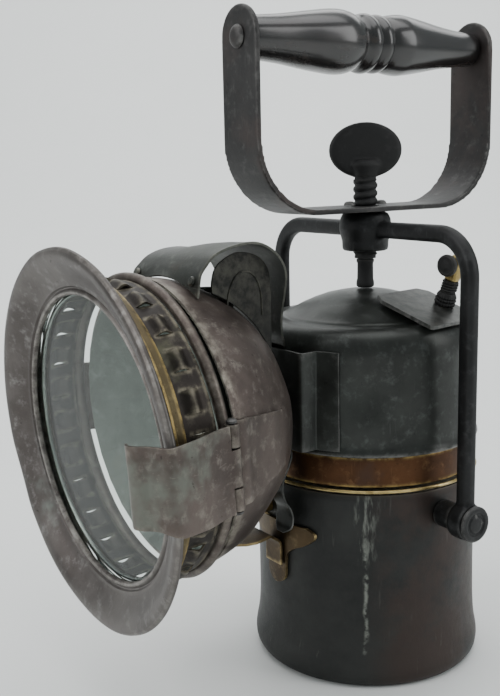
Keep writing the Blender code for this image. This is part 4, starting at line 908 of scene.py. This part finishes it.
for k in range(len(plate)):
    narrow = min(1.0, max(0.0, (k - 25) / 16.0))
    heights.append([LOW + 2.8 * narrow, -9.5 + 1.6 * narrow, -5.2, -2, 2, 5.2, 8.6, HIGH + 0.6 * narrow])
ribbon("clasp_plate_right", np.array(plate), 0.8, heights, "bronze", "clasp_right", "clasp_right", "XY",
    lambda i, j: not (i < 17 and not 2 <= j <= 4), HEAD, 0.12, lumps(0.14, 8, 7))
turned("hinge_pin_right", PIN, "strap", node="clasp_pin_right", at=(*CLASP_PIN, 0), matrix=HEAD, segs=28)

# ---- hinge on the head's far side
far = np.array([-1, 1])
leaf = curl(*FAR_PIN, KNUCKLE, 450, 180) + spline([(48.85, -1.6), (48.85, 0.5), (48.4, 9.0), (47.9, 12.5),
    (45.8, 17.0), (43.8, 23.0), (41.8, 28.0)], 4)
ribbon("far_leaf", np.array(leaf) * far, 0.8, list(LEAF_ROWS), "bronze", node="front_hinge_leaf", plane="XY",
    matrix=HEAD, keep=lambda i, j: not (i < 19 and 2 <= j <= 4), bevel=0.12, warp=lumps(0.12, 7, 5))
strap_leaf = curl(*FAR_PIN, KNUCKLE, -90, 180) + [(48.95, -3.9), (48.95, -5.0), (48.95, -6.1), (48.95, -7.2)]
ribbon("far_strap", np.array(strap_leaf) * far, 0.8, [-11.5, -8.5, -5.2, -2, 2, 5.2, 8.5, 11.5], "bronze",
    node="front_hinge_strap", plane="XY", matrix=HEAD, keep=lambda i, j: not (i < 20 and not 2 <= j <= 4),
    bevel=0.12)
turned("far_pin", PIN, "strap", node="front_hinge_pin", at=(-FAR_PIN[0], FAR_PIN[1], 0), matrix=HEAD, segs=28)

# ---- inner nodes keep their CAD mesh
for node, look in (("carbide_basket", "tinned"), ("gas_filter", "felt"), ("neck_seal", "rubber"),
    ("tank_seat", "collar"), ("drip_tube", "brass"), ("feed_pipe", "brass"),
    ("reflector", "inside"), ("gas_pipe", "copper"), ("burner_holder", "brass"),
    ("burner_tip", "steatite")):
    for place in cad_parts[node].material_slots:
        place.material = MATS[look]

# ---- floor, light, camera
floor_mesh = bpy.data.meshes.new("floor")
sweep = [(-3.0, 0.0)] + [(1.2 + 0.9 * math.sin(t), 0.9 - 0.9 * math.cos(t)) for t in np.linspace(0, math.pi / 2, 16)]
sweep.append((2.1, 3.5))
look_way = Vector(LOOK_WAY)
across = Vector((LOOK_WAY[1], -LOOK_WAY[0]))
points = [(look_way.x * d + across.x * s, look_way.y * d + across.y * s, z) for d, z in sweep for s in (-4, 4)]
floor_mesh.from_pydata(points, [], [(2 * k, 2 * k + 1, 2 * k + 3, 2 * k + 2) for k in range(len(sweep) - 1)])
floor_mesh.shade_smooth()
floor = bpy.data.objects.new("floor", floor_mesh)
bpy.context.scene.collection.objects.link(floor)
paper = Look("pale_paper")
floor_mesh.materials.append(paper.finish(
    paper.mix(paper.noise(9, 4), (0.76, 0.78, 0.77), (0.80, 0.81, 0.80)), 0.65, 0.0))

world = bpy.data.worlds.new("studio")
bpy.context.scene.world = world
world.use_nodes = True
world.node_tree.nodes["Background"].inputs[0].default_value = (0.86, 0.93, 0.95, 1)
world.node_tree.nodes["Background"].inputs[1].default_value = 0.5


def lamp(name, at, aim, size, power, colour=(1, 1, 1)):
    light = bpy.data.lights.new(name, "AREA")
    light.shape, light.size, light.size_y = "RECTANGLE", size[0], size[1]
    light.energy, light.color = power, colour
    obj = bpy.data.objects.new(name, light)
    obj.location = at
    obj.rotation_mode = "QUATERNION"
    obj.rotation_quaternion = (Vector(aim) - Vector(at)).to_track_quat("-Z", "Y")
    bpy.context.scene.collection.objects.link(obj)


lamp("top", (0.1, 0.0, 1.3), (0, -0.03, 0.1), (1.2, 1.2), 11)
lamp("left", (-0.2, -1.1, 0.7), (0, -0.05, 0.1), (0.8, 0.9), 9)
lamp("right", (0.9, 0.7, 0.6), (0, 0, 0.1), (0.5, 0.9), 5)
lamp("backdrop", (-1.0, 0.68, 1.3), (-1.35, 0.91, 0.0), (2.4, 1.2), 24)

camera = bpy.data.cameras.new("camera")
camera.lens, camera.sensor_width, camera.sensor_fit = 72.0, 36.0, "HORIZONTAL"
camera.clip_start, camera.clip_end = 0.01, 20
eye = bpy.data.objects.new("camera", camera)
forward = Vector((LOOK_WAY[0] * DIP[0], LOOK_WAY[1] * DIP[0], -DIP[1])).normalized()
side_way = Vector((LOOK_WAY[1], -LOOK_WAY[0], 0.0))
up_way = side_way.cross(forward).normalized()
right_way = (side_way - ROLL * up_way).normalized()
up_way = right_way.cross(forward).normalized()
turn = Matrix((right_way, up_way, -forward)).transposed()
eye.rotation_mode = "QUATERNION"
eye.rotation_quaternion = turn.to_quaternion()
eye.location = (0.2611, -0.2244, 0.1718)
bpy.context.scene.collection.objects.link(eye)
bpy.context.scene.camera = eye
